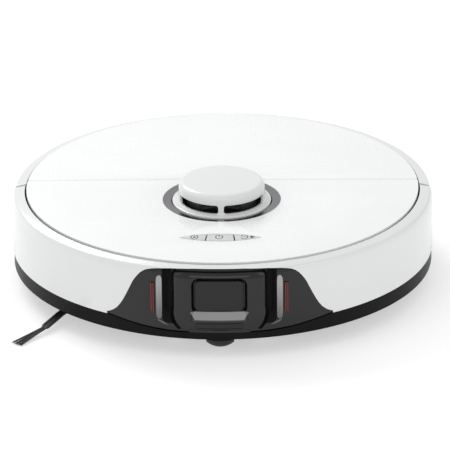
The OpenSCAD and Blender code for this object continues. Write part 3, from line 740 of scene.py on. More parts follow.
class VACUUM_OT_side_shell(bpy.types.Operator):
    """White rear side shell with its finger notch and outlet window"""
    bl_idname = "vacuum.side_shell"
    bl_label = "Rear side shell"

    def execute(self, context):
        start = corner("side_shell", False, 1)

        def place(u, r, z):
            """A point of the wall, from one end at u = 0 round the back to the other."""
            half = math.asin(start / r)
            a = half * (1 - u) + (math.pi - half) * u
            return r * math.cos(a), r * math.sin(a), z

        def ring(u):
            """The wall's outline at u; it stands in near both ends."""
            aside = 90.0 - abs(180.0 * u - 90.0)
            inset = END_STEP * smooth(60, 30, aside)
            return [place(u, r, z) for r, z, lip in rim_profile(SKIRT_TOP, inset)]

        shell = half_round("white_side", ring)
        notch = prism("tool", round_box(-18.8, 18.8, 150, RIM - 7.6, 2.0), DECK - 6, DECK + 2)
        window = front_prism("tool", round_box(-30.9, 30.9, 33.9, 56.1, 1.2), 200, 150)
        cut(shell, notch, window)
        rounded(shell, sizes().edge_round * 0.8)
        dressed(shell, "body", "shell_white", ("side_shell",), 40)
        return {"FINISHED"}


HINGE_X, HINGE_Y, HINGE_Z = 136.0, SEAM_Y + 5.2, 74.0


def deck_edge():
    """Front deck outline, with the tongue behind the tower."""
    seam, back, half = SEAM_Y - 0.4, SEAM_Y + 8.8, 30.6
    a = math.degrees(math.asin(seam / DECK_R))
    front = arc(0, 0, DECK_R, 180 - a, 360 + a, 220)
    return front + [(half, seam), (half, back), (-half, back), (-half, seam)]


def strip_outline(grow=0.0, steps=24):
    """Lens-shaped outline of the button strip."""
    # the buttons carry a hidden flange
    half, flange = 33.3, 1.2
    rear = corner("button_middle", True, 1) - flange
    front = corner("button_middle", False, 1) + flange
    tip = rear - 7.3
    r1 = (half ** 2 + (rear - tip) ** 2) / (2 * (rear - tip))
    r2 = (half ** 2 + (tip - front) ** 2) / (2 * (tip - front))
    cy1, r1 = rear - r1, r1 + grow
    cy2, r2 = front + r2, r2 + grow
    y = ((r2 * r2 - r1 * r1) - (cy2 * cy2 - cy1 * cy1)) / (2 * (cy1 - cy2))
    x = math.sqrt(r1 * r1 - (y - cy1) ** 2)
    a1, a2 = math.degrees(math.asin(x / r1)), math.degrees(math.asin(x / r2))
    return (arc(0, cy1, r1, 90 - a1, 90 + a1, steps)[:-1]
            + arc(0, cy2, r2, 270 - a2, 270 + a2, steps)[:-1])


class VACUUM_OT_deck(bpy.types.Operator):
    """White front deck with the tower hole, the button opening and hinge arms"""
    bl_idname = "vacuum.deck"
    bl_label = "Deck"

    def execute(self, context):
        deck = prism("white_deck", deck_edge(), DECK_UNDER, DECK)
        # radii of the tower hole and of the seat for its ring
        bore, seat = 46.4, 48.85
        hole = lathe("tool", [(0.01, DECK - 9), (bore, DECK - 9), (bore, DECK_UNDER + 0.3),
                              (seat, DECK_UNDER + 0.3), (seat, DECK + 1), (0.01, DECK + 1)],
                     (0, TOWER_Y), 144)
        lens = prism("tool", strip_outline(0.35), DECK_UNDER - 1, DECK + 1)
        cut(deck, hole, lens)
        rounded(deck, 0.0004)
        boss = lathe("tool", [(bore, DECK_UNDER - 2), (51, DECK_UNDER - 2),
                              (51, DECK_UNDER + 0.2), (bore, DECK_UNDER + 0.2)], (0, TOWER_Y), 144)
        cut(boss, prism("tool", [(-60, SEAM_Y + 8.6), (60, SEAM_Y + 8.6), (60, 60), (-60, 60)],
                        DECK - 12, DECK + 2))
        cut(deck, boss, operation="UNION")
        dressed(deck, "body", "deck_white", ("top_deck",))
        for side, name in ((-1, "left"), (1, "right")):
            outline = [(2.0, 76.9), (SEAM_Y - 3.0, 76.9), (SEAM_Y - 3.0, 67.5),
                       (SEAM_Y + 4.2, 67.5), (SEAM_Y + 4.2, HINGE_Z)]
            outline += arc(HINGE_Y, HINGE_Z, 3.2, 180, 0, 10)
            outline += [(HINGE_Y + 3.0, 64.0), (2.0, 64.0)]
            x = side * HINGE_X
            arm = side_prism("hinge_arm_" + name, outline, x - 4, x + 4)
            rounded(arm, 0.0003, 2)
            dressed(arm, "body", "deck_white")
        return {"FINISHED"}


class VACUUM_OT_rear_lid(bpy.types.Operator):
    """White rear lid with a curled front edge, hinge knuckles and finger tab"""
    bl_idname = "vacuum.rear_lid"
    bl_label = "Rear lid"

    def execute(self, context):
        section = arc(HINGE_Y, HINGE_Z, 5.2, 169, 90, 12)
        section += [(200, DECK), (200, DECK_UNDER), (HINGE_Y + 1.2, DECK_UNDER)]
        section += arc(HINGE_Y, HINGE_Z, 3.7, 78, 165, 10)
        lid = side_prism("white_lid", section, -200, 200)
        trim = lathe("tool", [(0.01, 60), (DECK_R, 60), (DECK_R, 90), (0.01, 90)])
        cut(lid, trim, operation="INTERSECT")
        tab = prism("tool", round_box(-18.2, 18.2, DECK_R - 8, RIM - 8.4, 2.2), DECK_UNDER + 0.4,
                    DECK - 0.5)
        cut(lid, tab, operation="UNION")
        cut(lid, self.turned("tool", 0, 0.01, 6.6, 31.2, 96))
        for side in (-1, 1):
            x, y = side * HINGE_X, HINGE_Y
            slot = [(x - 4.5, y - 0.1), (x + 4.5, y - 0.1), (x + 4.5, y + 6), (x - 4.5, y + 6)]
            cut(lid, prism("tool", slot, 72, 77.5))
        rounded(lid, 0.0004)
        dressed(lid, "lid", "deck_white", ("rear_lid",))
        places = [side * HINGE_X + d for side in (-1, 1) for d in (-9.25, 9.25)]
        for i, x in enumerate(places):
            knuckle = self.turned("lid_knuckle_%d" % (i + 1), x, 1.65, 5.1, 4.75, 64)
            rounded(knuckle, 0.0003, 2)
            dressed(knuckle, "lid", "deck_white")
        return {"FINISHED"}

    @staticmethod
    def turned(name, x, inner, outer, half, steps):
        """A sleeve on the hinge line."""
        sleeve = lathe(name, [(inner, x - half), (outer, x - half), (outer, x + half),
                              (inner, x + half)], (0, 0), steps)
        return moved(sleeve, lambda a, b, c: (c, HINGE_Y + a, HINGE_Z + b))


# ---------------------------------------------------------------- laser tower

class VACUUM_OT_tower(bpy.types.Operator):
    """White tower cover with four slots, and the grey ring round its foot"""
    bl_idname = "vacuum.tower"
    bl_label = "Laser tower"

    # where the slots in the wall start and end, in degrees
    SLOTS = ((-163, -93.6), (-86.4, -17), (9, 86.4), (93.6, 171))

    def execute(self, context):
        top = TOWER_TOP
        low, high = DECK + 1.0, top - 8.9
        skirt = DECK_UNDER - 3.2
        outer = [(40.8, skirt), (40.8, DECK - 0.1), (40.6, DECK + 0.15), (40.1, DECK + 0.35),
                 (36.8, low - 0.25), (36.2, low - 0.05), (35.9, low + 0.4), (35.8, low + 1.2)]
        outer += [(35.5, top - 5.4)]
        for i in range(1, 13):
            t = math.radians(90 * i / 12)
            outer.append((35.4 - 4.6 * (1 - math.cos(t)), top - 5.0 + 4.75 * math.sin(t)))
        outer += [(27.0, top - 0.13), (18.0, top - 0.04), (9.0, top - 0.01), (0, top)]
        inner = [(0, top - 2), (30.8, top - 2), (33.0, top - 4.6), (33.8, top - 7),
                 (33.9, low - 1.4), (38.8, low - 2.0), (38.8, skirt)]
        cover = lathe("tower_cover", outer + inner, (0, TOWER_Y), 192)
        r = 35.7
        for a0, a1 in self.SLOTS:
            # slot outline on the unrolled wall, with round corners, then wrapped round it
            flat = divided(round_box(0, math.radians(a1 - a0) * r, low, high, 2.3, 5), 1.2, 0)

            def wrap(along, z, rad):
                """A point of the unrolled slot on the round wall."""
                a = math.radians(a0) + along / r
                return rad * math.cos(a), TOWER_Y + rad * math.sin(a), z

            cut(cover, split(moved(prism("tool", flat, 30, 45), wrap)))
        rounded(cover, 0.0004, 2, 38)
        dressed(cover, "tower_cover", "shell_white", ("lidar_cap",), 40)

        profile = [(41.6, DECK - 4.0), (46.2, DECK - 4.0), (46.2, DECK - 2.2), (48.7, DECK - 2.2),
                   (48.7, DECK - 0.55), (48.4, DECK - 0.3), (47.9, DECK - 0.32)]
        for i in range(1, 15):
            t = i / 14
            profile.append((47.9 - 6.1 * t, DECK - 0.32 - 0.5 * t - (0.04 if i % 2 else 0.0)))
        profile += [(41.6, DECK - 1.1)]
        ring = lathe("tower_ring", profile, (0, TOWER_Y), 192)
        dressed(ring, "body", "ring_grey", ("lidar_ring",), 25)
        return {"FINISHED"}


# ---------------------------------------------------------------- buttons

def clipped(points, across, along, limit):
    """The part of a convex outline where across * x + along * y stays under the limit."""
    out = []
    for p, q in zip(points, points[1:] + points[:1]):
        a = across * p[0] + along * p[1] - limit
        b = across * q[0] + along * q[1] - limit
        if a <= 0:
            out.append(p)
        if a * b < 0:
            t = a / (a - b)
            out.append((p[0] + (q[0] - p[0]) * t, p[1] + (q[1] - p[1]) * t))
    return out


def button_outline(side):
    """The part of the strip that one button covers; the dividers lean towards the rear."""
    lean, edge, gap = 0.1, -0.29, 0.5
    outline = strip_outline(0.0, 40)
    if side == 0:
        return clipped(clipped(outline, 1, lean, edge), -1, lean, edge)
    return clipped(outline, -side, -lean, -edge - 2 * gap)


# height of the printed signs over the buttons
INK = 0.03


def flat_ring(x, y, top, start=0, stop=360):
    """A printed oval ring, or a part of one."""
    radii, line, steps = (3.2, 4.5), 0.8, 40
    rings = []
    for i in range(steps + (0 if stop - start >= 360 else 1)):
        a = math.radians(start + (stop - start) * i / steps)
        ring = []
        for inset, z in ((0, top - 0.05), (0, top + INK), (line, top + INK), (line, top - 0.05)):
            ring.append((x + (radii[0] - inset) * math.cos(a),
                         y + (radii[1] - inset) * math.sin(a), z))
        rings.append(ring)
    return swept("sign", rings, stop - start >= 360)


def printed(outline, top):
    """A flat printed shape."""
    return prism("sign", outline, top - 0.05, top + INK)


def bar(x0, x1, y0, y1, top):
    """A printed bar with round ends."""
    return printed(round_box(x0, x1, y0, y1, 0.2, 3), top)


class VACUUM_OT_buttons(bpy.types.Operator):
    """Three push buttons in one pointed strip, with plain printed signs"""
    bl_idname = "vacuum.buttons"
    bl_label = "Buttons"

    def execute(self, context):
        top = corner("button_middle", True, 2)
        y = (corner("button_middle", True, 1) + corner("button_middle", False, 1)) / 2 + 0.3
        w, h = 1.0, 1.4
        house = [(-21 - w, y - h), (-21 + w, y - h), (-21 + w, y + 0.3 * h), (-21, y + h),
                 (-21 - w, y + 0.3 * h)]
        signs = {
            "button_left": [flat_ring(-21, y, top), printed(house, top)],
            "button_middle": [flat_ring(-0.8, y, top, 120, 420),
                              bar(-1.25, -0.35, y + 0.4, y + 4.4, top)],
            "button_right": [flat_ring(19.6, y, top, 200, 520),
                             bar(18.3, 20.9, y - 0.35, y + 0.35, top),
                             printed([(24.6, y - 3.0), (28.6, y), (24.6, y + 3.0)], top)],
        }
        for side, name in ((-1, "button_left"), (0, "button_middle"), (1, "button_right")):
            cap = prism("cap_" + name, button_outline(side), DECK_UNDER + 0.2, top)
            rounded(cap, 0.0003, 3)
            dressed(cap, name, "button_grey", (name,))
            sign = joined("sign_" + name, signs[name])
            dressed(sign, name, "icon_ink")
        return {"FINISHED"}


# ---------------------------------------------------------------- front panel

# half width of the sunk middle and deepest point of its side slots
RECESS_HALF, SLOT_DEPTH = 51.0, 7.2
# camera window: half width, height of its middle, half height
WINDOW_HALF, WINDOW_Z, WINDOW_RISE = 19.9, 53.4, 13.4
# light bars: distance from the middle, lower and upper end
LIGHT_X, LIGHT_LOW, LIGHT_HIGH = 54.15, 38.1, 63.4


def rim_radius(z):
    """Outer radius of the shells at a height."""
    return between([(at, r) for r, at in rim_outer(20)], z)


def fall(start, reach, x):
    """Quarter-round drop from 0 to 1 over the reach."""
    t = unit((x - start) / reach)
    return 1 - math.sqrt(1 - t * t)


def window_gap(x, z):
    """Distance outside the rounded rectangle of the camera window."""
    r = 4
    dx, dz = abs(x) - WINDOW_HALF + r, abs(z - WINDOW_Z) - WINDOW_RISE + r
    return math.hypot(max(0.0, dx), max(0.0, dz)) - r + min(0.0, max(dx, dz))


# painted highlight: a satin crescent laid where light falls on a slot's lower end: height, outer
# and inner distance
HIGHLIGHT_CRESCENT = ((27.6, 43.0, 41.2), (28.4, 45.8, 42.2), (29.3, 47.8, 43.8), (30.2, 49.2, 45.8),
        (31.0, 50.0, 47.6), (31.6, 50.4, 49.4))


def block_edge(z):
    """Half width of the middle block, which draws in at its foot."""
    return 38.6 - 7.0 * fall(0, 1, smooth(40, 23, z))


def panel_depth(x, z):
    """How far the panel's face lies behind the rim, in millimetres."""
    ax = abs(x)
    # sunk middle with rounded upper corners
    top = 75.2 - 5.4 * fall(45.0, 5.9, ax)
    inside = smooth(top + 0.4, top - 0.4, z) * smooth(RECESS_HALF, RECESS_HALF - 0.4, ax)
    wall = 0.9 + 2.6 * unit((50.8 - ax) / 4.4)
    wall += (SLOT_DEPTH - 3.5) * unit((46.4 - ax) / 4.4)
    edge = block_edge(z)
    block = 1.1 + 0.7 * smooth(22, edge, ax) + (SLOT_DEPTH - 1.8) * fall(edge - 3.4, 3.4, ax)
    hip = math.hypot(max(0.0, ax - 21.0) * 0.42 * smooth(30, 44, z), max(0.0, z - 66.5))
    roll = 5.6 * fall(0.0, 9.4, hip)
    body = min(SLOT_DEPTH, block + roll)
    deep = body if ax < edge else min(SLOT_DEPTH, wall)
    # the slots' floors run forward in a smooth ramp at the bottom
    ramp = 1 - fall(0, 1, 1 - smooth(41.0, 25.6, z))
    aside = smooth(edge - 1.5, edge + 1.5, ax)
    deep = deep * (1 - ramp * aside) + 0.6 * ramp * aside
    ledge = 24.9 + 0.5 * (1 - smooth(0, 40, ax))
    lower = unit((ledge - z) / 0.7)
    depth = (max(deep, 1.3) * (1 - lower) + 0.1 * lower) * inside
    # sunk frame of the camera window, and the broad chamfer under it
    gap = window_gap(x, z)
    if gap <= 0.15:
        depth = max(depth, 6.0)
    elif z < 40.0 and ax < 25.0:
        depth += 3.5 * unit((z - 31.6) / 7.4) * (1 - smooth(20.0, 25.0, ax)) ** 0.6
    else:
        depth = max(depth, 1.1 + 4.4 * smooth(3.0, 0.6, gap))
    # shallow pockets for the light bars and the dock window
    bar_pocket = 52.7 < ax < 55.6 and LIGHT_LOW - 0.2 < z < LIGHT_HIGH + 0.2
    dock_pocket = ax < 19.0 and 25.7 < z < 30.3
    return depth + 0.5 if bar_pocket or dock_pocket else depth


def panel_face(x, z):
    """Y of the panel's face."""
    return -math.sqrt(rim_radius(z) ** 2 - x * x) + panel_depth(x, z)


class VACUUM_OT_sensor_panel(bpy.types.Operator):
    """Glossy black front panel with its sunk middle, camera window, light bars and dock window"""
    bl_idname = "vacuum.sensor_panel"
    bl_label = "Sensor panel"

    # where the columns of the face stand: from, to and how many steps
    COLUMNS = ((0, 17, 24), (17, 25, 34), (25, 31, 10), (31, 51.2, 84), (51.2, 52.6, 3),
               (52.8, 55.5, 3), (55.7, 91.3, 46))
    # the middle rows are level out to this distance
    LEVEL_TO = 57.0

    def execute(self, context):
        xs = {round(a + (b - a) * i / n, 4) for a, b, n in self.COLUMNS for i in range(n + 1)}
        xs = sorted({-x for x in xs} | xs)
        front = [self.column(x) for x in xs]
        m, total = len(front[0]), len(front) * len(front[0])
        thick = sizes().panel_thickness / MM
        points = [p for col in front for p in col]
        points += [(x, y + thick, z) for x, y, z in points]
        faces, edges = [], []
        for i in range(len(front) - 1):
            for j in range(m - 1):
                a, b, c, d = i * m + j, (i + 1) * m + j, (i + 1) * m + j + 1, i * m + j + 1
                faces += [(a, b, c, d), (total + d, total + c, total + b, total + a)]
            edges += [(i * m + j, (i + 1) * m + j) for j in (0, m - 1)]
        for i in (0, len(front) - 1):
            edges += [(i * m + j, i * m + j + 1) for j in range(m - 1)]
        faces += [(a, b, total + b, total + a) for a, b in edges]
        panel = piece_of("black_panel", points, faces)
        dressed(panel, "bumper", "panel_black", ("sensor_panel",), 50)

        half, rise = WINDOW_HALF - 0.4, WINDOW_RISE - 0.4
        outline = round_box(-half, half, WINDOW_Z - rise, WINDOW_Z + rise, 3.4, 8)
        glass = front_prism("camera_glass", outline, -RIM + 6.8, -RIM + 3.6)
        rounded(glass, 0.0006, 4)
        dressed(glass, "bumper", "window_black", ("camera_window",))

        ends = [(17.6, 29.8), (18.4, 29.0), (18.6, 26.6), (18.0, 26.0)]
        dock = self.bent("dock_glass", [(-x, z) for x, z in ends] + ends[::-1], 1.25, 2.6)
        dressed(dock, "bumper", "infrared_window", ("dock_window",))
        for side, name in ((-1, "laser_left"), (1, "laser_right")):
            x = side * LIGHT_X
            base = self.bent("strip_" + name, self.upright(x, 1.3), 0.2, 1.0)
            dressed(base, "bumper", "window_black")
            lines = [self.bent("line", self.upright(x + d, 0.25), 0.08, 0.5)
                     for d in (-0.95, 0.95)]
            dressed(joined("line_" + name, lines), "bumper", "light_red", (name,))
            # painted light on each slot: highlights on the bevel trim and the crescent, painted
            # shade on the sheet inside
            for skin, look in (
                    (self.sheen_slot_trim("trim_" + name, side), "trim_metal"),
                    (self.ribbon("bowl_" + name, side, [b + (6,) for b in HIGHLIGHT_CRESCENT], 0.2),
                     "trim_metal"),
                    (self.slot_shade_sheet("lining_" + name, side), "slot_black")):
                dressed(skin, "bumper", look, (), 60)
        # painted reflection on the chamfer under the camera window
        dressed(self.sheen_window_sill(), "bumper", "sill_metal", (), 40)
        return {"FINISHED"}

    @classmethod
    def column(cls, x):
        """One upright line of points on the panel's face."""
        low, high = 23.9, 74.2
        level = [low + (high - low) * i / 127 for i in range(128)]

        def heights(bottom, top):
            """Rows between the panel's edges, level through the middle."""
            return ([bottom + (low - bottom) * t for t in (0.0, 0.25, 0.5, 0.75)] + level
                    + [high + (top - high) * t for t in (0.25, 0.5, 0.75, 1.0)])

        reach = min(abs(x), cls.LEVEL_TO)
        bottom, top = between(PANEL_LOW, reach), between(PANEL_HIGH, reach)
        zs = heights(bottom, top)
        zl, zh = between(PANEL_LOW, abs(x)), between(PANEL_HIGH, abs(x))
        if abs(x) > cls.LEVEL_TO:
            zs = [zl + (zh - zl) * (z - bottom) / (top - bottom) for z in zs]
        column = []
        for z in zs:
            round_off = 0.35 * (1 - smooth(0.0, 0.8, min(z - zl, zh - z)))
            column.append((x, panel_face(x, z) + round_off, z))
        return column

    @staticmethod
    def ribbon(name, side, rows, lift):
        """A skin over the panel's face: each row holds a height, two distances and a count."""
        rings = []
        for z, x0, x1, count in rows:
            across = [x0 + (x1 - x0) * k / count for k in range(count + 1)]
            face = [(side * x, panel_face(x, z), z) for x in across]
            rings.append([(x, y - lift, q) for x, y, q in face]
                         + [(x, y + 0.5, q) for x, y, q in reversed(face)])
        return swept(name, rings)

    @classmethod
    def sheen_slot_trim(cls, name, side):
        """Bevel along the outer edge of a side slot, made bright by a painted highlight."""
        rows = []
        for i in range(61):
            t = i / 60
            taper = math.sqrt(max(0.01, 1 - (2 * t - 1) ** 12))
            rows.append((32.0 + 37.6 * t, 48.7 + 2.3 * taper, 48.7 - 2.3 * taper, 6))
        return cls.ribbon(name, side, rows, 0.2)

    @classmethod
    def slot_shade_sheet(cls, name, side):
        """Near-black matte sheet over a side slot, from the middle block to the bevel: painted
        shade.
        """
        rows = []
        for i in range(61):
            z = 29.0 + 45.4 * i / 60
            rows.append((z, 46.2 - 4.0 * fall(0, 1, smooth(35, 28, z)), block_edge(z) - 0.4, 24))
        return cls.ribbon(name, side, rows, 0.12)

    @classmethod
    def sheen_window_sill(cls):
        """Lighter satin sheet on the chamfer under the camera window: a painted reflection of the
        light above.
        """
        rows = [(32.9 + 6.2 * i / 12, 19.8 + 4.0 * i / 12, -19.8 - 4.0 * i / 12, 48)
                for i in range(13)]
        return cls.ribbon("sheen_window_sill", 1, rows, 0.15)

    @staticmethod
    def upright(x, half):
        """Tall narrow outline with round ends, in x and z."""
        return round_box(x - half, x + half, LIGHT_LOW, LIGHT_HIGH, min(half, 0.9) * 0.98, 4)

    @staticmethod
    def bent(name, outline, front, back):
        """A thin plate bent to the rim, between two depths behind it."""
        piece = split(front_prism(name, divided(outline, 2.0), back, front))
        return moved(piece, lambda x, y, z: (x, y - math.sqrt(RIM * RIM - x * x), z))


# ---------------------------------------------------------------- side brush and rollers

# an arm's middle line: distance out, distance sideways, width
ARM_LINE = [(4, -2, 8.8), (14, -6, 8.2), (25, -7.2, 7.8), (38, -4.5, 7.8), (54.7, -0.7, 7.8)]
# turn and droop of the arms in degrees, height of their root
SWEEP_ANGLE, SWEEP_TILT, SWEEP_Z = 228.1, 5.43, 9.4
# where the bristles start and end, from the middle
HAIR_ROOT, HAIR_TIP = 53.2, 88.2


def curve_at(line, t):
    """Smooth reading of a line of points, t from 0 to 1."""
    n = len(line) - 1
    i = min(n - 1, int(t * n))
    f = t * n - i
    p = [line[max(0, min(n, i + k))] for k in (-1, 0, 1, 2)]
    return tuple(0.5 * (2 * b + (c - a) * f + (2 * a - 5 * b + 4 * c - d) * f * f
                        + (3 * b - a - 3 * c + d) * f ** 3) for a, b, c, d in zip(*p))


class VACUUM_OT_side_brush(bpy.types.Operator):
    """Three-armed rubber side brush with bristle tufts"""
    bl_idname = "vacuum.side_brush"
    bl_label = "Side brush"

    def execute(self, context):
        low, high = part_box("side_brush_screw")
        cx, cy = (low[0] + high[0]) / 2 / MM, (low[1] + high[1]) / 2 / MM
        top = 10.4

        def placed(k, x, y, z):
            """A point of arm k in the robot's own place."""
            t, a = math.radians(SWEEP_TILT), math.radians(SWEEP_ANGLE + 120 * k)
            u, w = x * math.cos(t) + z * math.sin(t), -x * math.sin(t) + z * math.cos(t)
            return (cx + u * math.cos(a) - y * math.sin(a), cy + u * math.sin(a) + y * math.cos(a),
                    SWEEP_Z + w)

        hub = lathe("hub", [(2.7, top), (8.6, top), (9.0, top - 0.5), (9.0, 7.2), (8.6, 6.4),
                            (7.4, 5.9), (4.6, 5.62), (4.2, 5.62), (4.0, 6.0), (2.7, 6.0)],
                    (cx, cy), 64)
        parts, hairs = [hub], []
        rng = random.Random(7)
        for k in range(3):
            rings = []
            for i in range(31):
                t = i / 30
                x, y, w = curve_at(ARM_LINE, t)
                h = w / 2
                end = 1 - 0.45 * smooth(0.93, 1.0, t)
                across = [(-h, 0.0), (-h + 0.25, 0.7), (-h + 0.9, 0.95), (-h * 0.45, 0.95),
                          (-h * 0.36, 0.45), (h * 0.36, 0.45), (h * 0.45, 0.95), (h - 0.9, 0.95),
                          (h - 0.25, 0.7), (h, 0.0)]
                ring = across + [(p, -q) for p, q in across[-2:0:-1]]
                rings.append([placed(k, x, y + p * end, q * end) for p, q in ring])
            parts.append(swept("arm", rings))
            for j in range(sizes().hairs):
                u = (j + 0.5) / sizes().hairs * 2 - 1 + rng.uniform(-0.04, 0.04)
                z0, z1 = rng.uniform(-0.35, 0.35), rng.uniform(-0.3, 0.3)
                reach = HAIR_TIP - rng.uniform(0.0, 3.2) - 1.2 * u * u
                bend = rng.uniform(-0.5, 0.5)
                rings = []
                for i in range(7):
                    t = i / 6
                    x = HAIR_ROOT + (reach - HAIR_ROOT) * t
                    spread = between([(HAIR_ROOT, 2.5), (70, 3.8), (88.4, 5.5)], x)
                    y = u * spread + bend * t * t - 0.7 * (1 - t)
                    r = 0.23 * (1 - 0.35 * t)
                    rings.append([placed(k, x, y + r * math.cos(a), (z0 + (z1 - z0) * t)
                                         * 0.9 + r * math.sin(a))
                                  for a in (0.3, 1.56, 2.82, 4.07, 5.33)])
                hairs.append(swept("hair", rings))
        brush = joined("sweeper_arms", parts)
        dressed(brush, "sweeper", "arm_rubber", ("side_brush",), 40)
        tufts = joined("sweeper_tufts", hairs)
        dressed(tufts, "sweeper", "bristle_nylon", ("side_brush_bristles",), 80)
        return {"FINISHED"}


class VACUUM_OT_rollers(bpy.types.Operator):
    """Two rubber rollers with chevron fins and steel ends"""
    bl_idname = "vacuum.rollers"
    bl_label = "Rollers"

    def execute(self, context):
        for name, node, turn, sense in (("front_roller", "roller_front", 0, 1),
                                        ("rear_roller", "roller_rear", 30, -1)):
            low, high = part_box(node)
            y, z = (low[1] + high[1]) / 2 / MM, (low[2] + high[2]) / 2 / MM
            reach, half = 15.4, 74.4
            # one fin: radius and half thickness
            fin = [(10.6, 3.0), (11.6, 1.35), (13.5, 0.95), (reach - 0.5, 0.8), (reach, 0.35)]
            fin += [(r, -w) for r, w in fin[::-1]]
            outline = []
            for k in range(6):
                a0 = math.radians(60 * k)
                outline += [(r, a0 - w / r) for r, w in fin]
                outline += [(10.0, a0 + math.radians(d)) for d in (22, 38)]
            rings = []
            for i in range(61):
                x = -half + 2 * half * i / 60
                lean = math.radians(turn + sense * 34 * abs(x) / half)
                rings.append([(x, y + r * math.cos(a + lean), z + r * math.sin(a + lean))
                              for r, a in outline])
            body = swept("finned_" + name, rings)
            dressed(body, name, "roller_rubber", (node,), 40)
            ends = []
            for side in (-1, 1):
                x0, x1 = side * (half - 2), side * 79.4
                prof = [(x0, 2.9), (x1 - side * 0.4, 2.9), (x1, 2.5)]
                ends.append(swept("end", [[(x, y + r * math.cos(a), z + r * math.sin(a))
                                           for a in [2 * math.pi * q / 32 for q in range(32)]]
                                          for x, r in prof]))
            dressed(joined("ends_" + name, ends), name, "pin_steel")
        return {"FINISHED"}


# ---------------------------------------------------------------- other pieces

class VACUUM_OT_finishes(bpy.types.Operator):
    """Finishes of the nodes that keep their own shape"""
    bl_idname = "vacuum.finishes"
    bl_label = "Finishes"

    LOOKS = {
        "base_black": ("base_shell", "battery_cover", "caster_housing", "bumper_switches",
                       "side_brush_motor"),
        "frame_black": ("brush_cover", "bumper_frame", "lidar_motor"),
        "housing_grey": ("brush_housing", "brush_gearbox", "fan_housing", "lidar_base"),
        "tray_grey": ("inner_tray",),
        "pin_steel": ("lid_pin_left", "lid_pin_right", "arm_pin_left", "arm_pin_right",
                      "caster_axle"),
        "can_steel": ("fan_motor", "base_screws", "side_brush_screw"),
        "battery_wrap": ("battery_pack",),
        "board_green": ("main_board",),
        "smoky_plastic": ("dust_bin",),
        "bin_lid": ("bin_cover",),
        "filter_paper": ("bin_filter",),
        "grille_grey": ("exhaust_grille",),
        "infrared_window": ("cliff_windows", "dock_window", "turret_lens"),
        "contact_plate": ("charge_contacts",),
        "light_red": ("laser_left", "laser_right"),
        "turret_black": ("lidar_turret",),
        "arm_rubber": ("lidar_pulley", "side_brush"),
        "button_grey": ("button_left", "button_middle", "button_right"),
        "bristle_nylon": ("side_brush_bristles",),
        "roller_rubber": ("roller_front", "roller_rear"),
        "arm_grey": ("arm_left", "arm_right", "caster_fork"),
        "hub_grey": ("hub_left", "hub_right"),
        "tyre_rubber": ("tyre_left", "tyre_right"),
        "caster_rubber": ("caster_wheel",),
        "fan_grey": ("impeller",),
        "shell_white": ("side_shell", "bumper_cover", "lidar_cap"),
        "deck_white": ("top_deck", "rear_lid"),
        "ring_grey": ("lidar_ring",),
        "panel_black": ("sensor_panel",),
        "window_black": ("camera_window",),
    }

    def execute(self, context):
        for look, nodes in self.LOOKS.items():
            for name in nodes:
                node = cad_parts[name]
                for i in range(len(node.material_slots)):
                    node.material_slots[i].material = finish(look)
        return {"FINISHED"}


# ---------------------------------------------------------------- studio

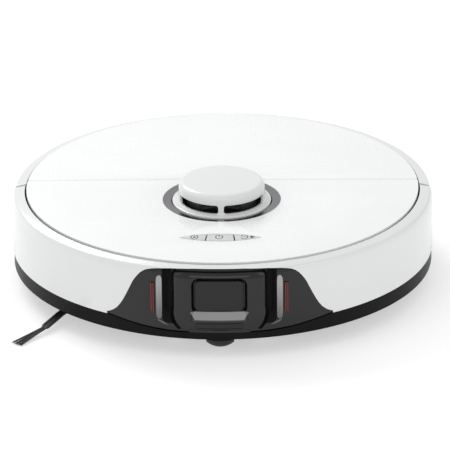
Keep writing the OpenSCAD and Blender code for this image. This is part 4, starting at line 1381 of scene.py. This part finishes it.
class VACUUM_OT_stage(bpy.types.Operator):
    """Pale floor, soft lights and the camera"""
    bl_idname = "vacuum.stage"
    bl_label = "Studio"

    FLOOR_HALF, SKY = 3.0, 0.79
    # name, place, point it faces, width and height, watts
    LIGHTS = (
        ("key", (-0.9, 1.1, 1.35), (0, 0, 0.05), (1.0, 1.0), 17),
        ("front", (0.0, -1.9, 0.85), (0, 0, 0.05), (1.5, 0.35), 2.2),
        ("left_strip", (-1.2, -0.9, 0.8), (0, -0.1, 0.05), (0.5, 0.8), 0.6),
        ("right_strip", (1.2, -0.9, 0.8), (0, -0.1, 0.05), (0.5, 0.8), 1.2))
    # camera: lens and film width in millimetres, distance and aim in metres, angles in degrees
    LENS, FILM, DISTANCE, AIM = 402.0, 36.0, 4.195, (0.0019, 0.0, 0.0436)
    ELEVATION, AZIMUTH, ROLL = 22.74, 1.1, -0.59

    def execute(self, context):
        scene = bpy.context.scene
        scene.view_settings.view_transform = "Standard"
        half = self.FLOOR_HALF / MM
        floor = piece_of("floor", [(-half, -half, 0), (half, -half, 0), (half, half, 0),
                                   (-half, half, 0)], [(0, 1, 2, 3)])
        floor.data.materials.append(finish("floor_paper"))

        world = bpy.data.worlds.new("studio")
        scene.world = world
        world.use_nodes = True
        sky = world.node_tree.nodes["Background"].inputs
        sky["Color"].default_value, sky["Strength"].default_value = (1, 1, 1, 1), self.SKY

        for name, place, aim, size, watts in self.LIGHTS:
            data = bpy.data.lights.new(name, "AREA")
            data.shape, data.size, data.size_y, data.energy = "RECTANGLE", size[0], size[1], watts
            self.placed(name, data, place, aim)

        data = bpy.data.cameras.new("view")
        data.lens, data.sensor_width, data.clip_end = self.LENS, self.FILM, 20.0
        data.dof.use_dof = False
        el, az = math.radians(self.ELEVATION), math.radians(self.AZIMUTH)
        place = Vector(self.AIM) + self.DISTANCE * Vector((
            math.sin(az) * math.cos(el), -math.cos(az) * math.cos(el), math.sin(el)))
        scene.camera = self.placed("view", data, place, self.AIM, self.ROLL)
        return {"FINISHED"}

    @staticmethod
    def placed(name, data, place, aim, roll=0.0):
        """A light or camera that faces a point."""
        made = linked(name, data)
        made.location = place
        turn = (Vector(aim) - Vector(place)).to_track_quat("-Z", "Y").to_matrix()
        made.rotation_euler = (turn @ Matrix.Rotation(math.radians(roll), 3, "Z")).to_euler()
        return made


STEPS = (
    VACUUM_OT_stage, VACUUM_OT_finishes, VACUUM_OT_bumper_cover, VACUUM_OT_side_shell,
    VACUUM_OT_deck, VACUUM_OT_rear_lid, VACUUM_OT_tower, VACUUM_OT_buttons,
    VACUUM_OT_sensor_panel, VACUUM_OT_side_brush, VACUUM_OT_rollers,
)


class VACUUM_PT_panel(bpy.types.Panel):
    """Sizes, colours and building steps"""
    bl_idname = "VACUUM_PT_panel"
    bl_label = "Robot Vacuum"
    bl_space_type = "VIEW_3D"
    bl_region_type = "UI"
    bl_category = "Robot Vacuum"

    def draw(self, context):
        for group in (context.scene.vacuum_sizes, context.scene.vacuum_colours):
            box = self.layout.box()
            for key in group.bl_rna.properties.keys():
                if key not in ("rna_type", "name"):
                    box.prop(group, key)
        for step in STEPS:
            self.layout.operator(step.bl_idname)


CLASSES = (VacuumSizes, VacuumColours) + STEPS + (VACUUM_PT_panel,)


def register():
    """Add the classes and the scene's settings."""
    for cls in CLASSES:
        bpy.utils.register_class(cls)
    bpy.types.Scene.vacuum_sizes = PointerProperty(type=VacuumSizes)
    bpy.types.Scene.vacuum_colours = PointerProperty(type=VacuumColours)


def unregister():
    """Take them away again."""
    del bpy.types.Scene.vacuum_colours
    del bpy.types.Scene.vacuum_sizes
    for cls in reversed(CLASSES):
        bpy.utils.unregister_class(cls)


def main():
    """Build everything."""
    register()
    for step in STEPS:
        group, name = step.bl_idname.split(".")
        getattr(getattr(bpy.ops, group), name)()


if __name__ == "__main__":
    main()
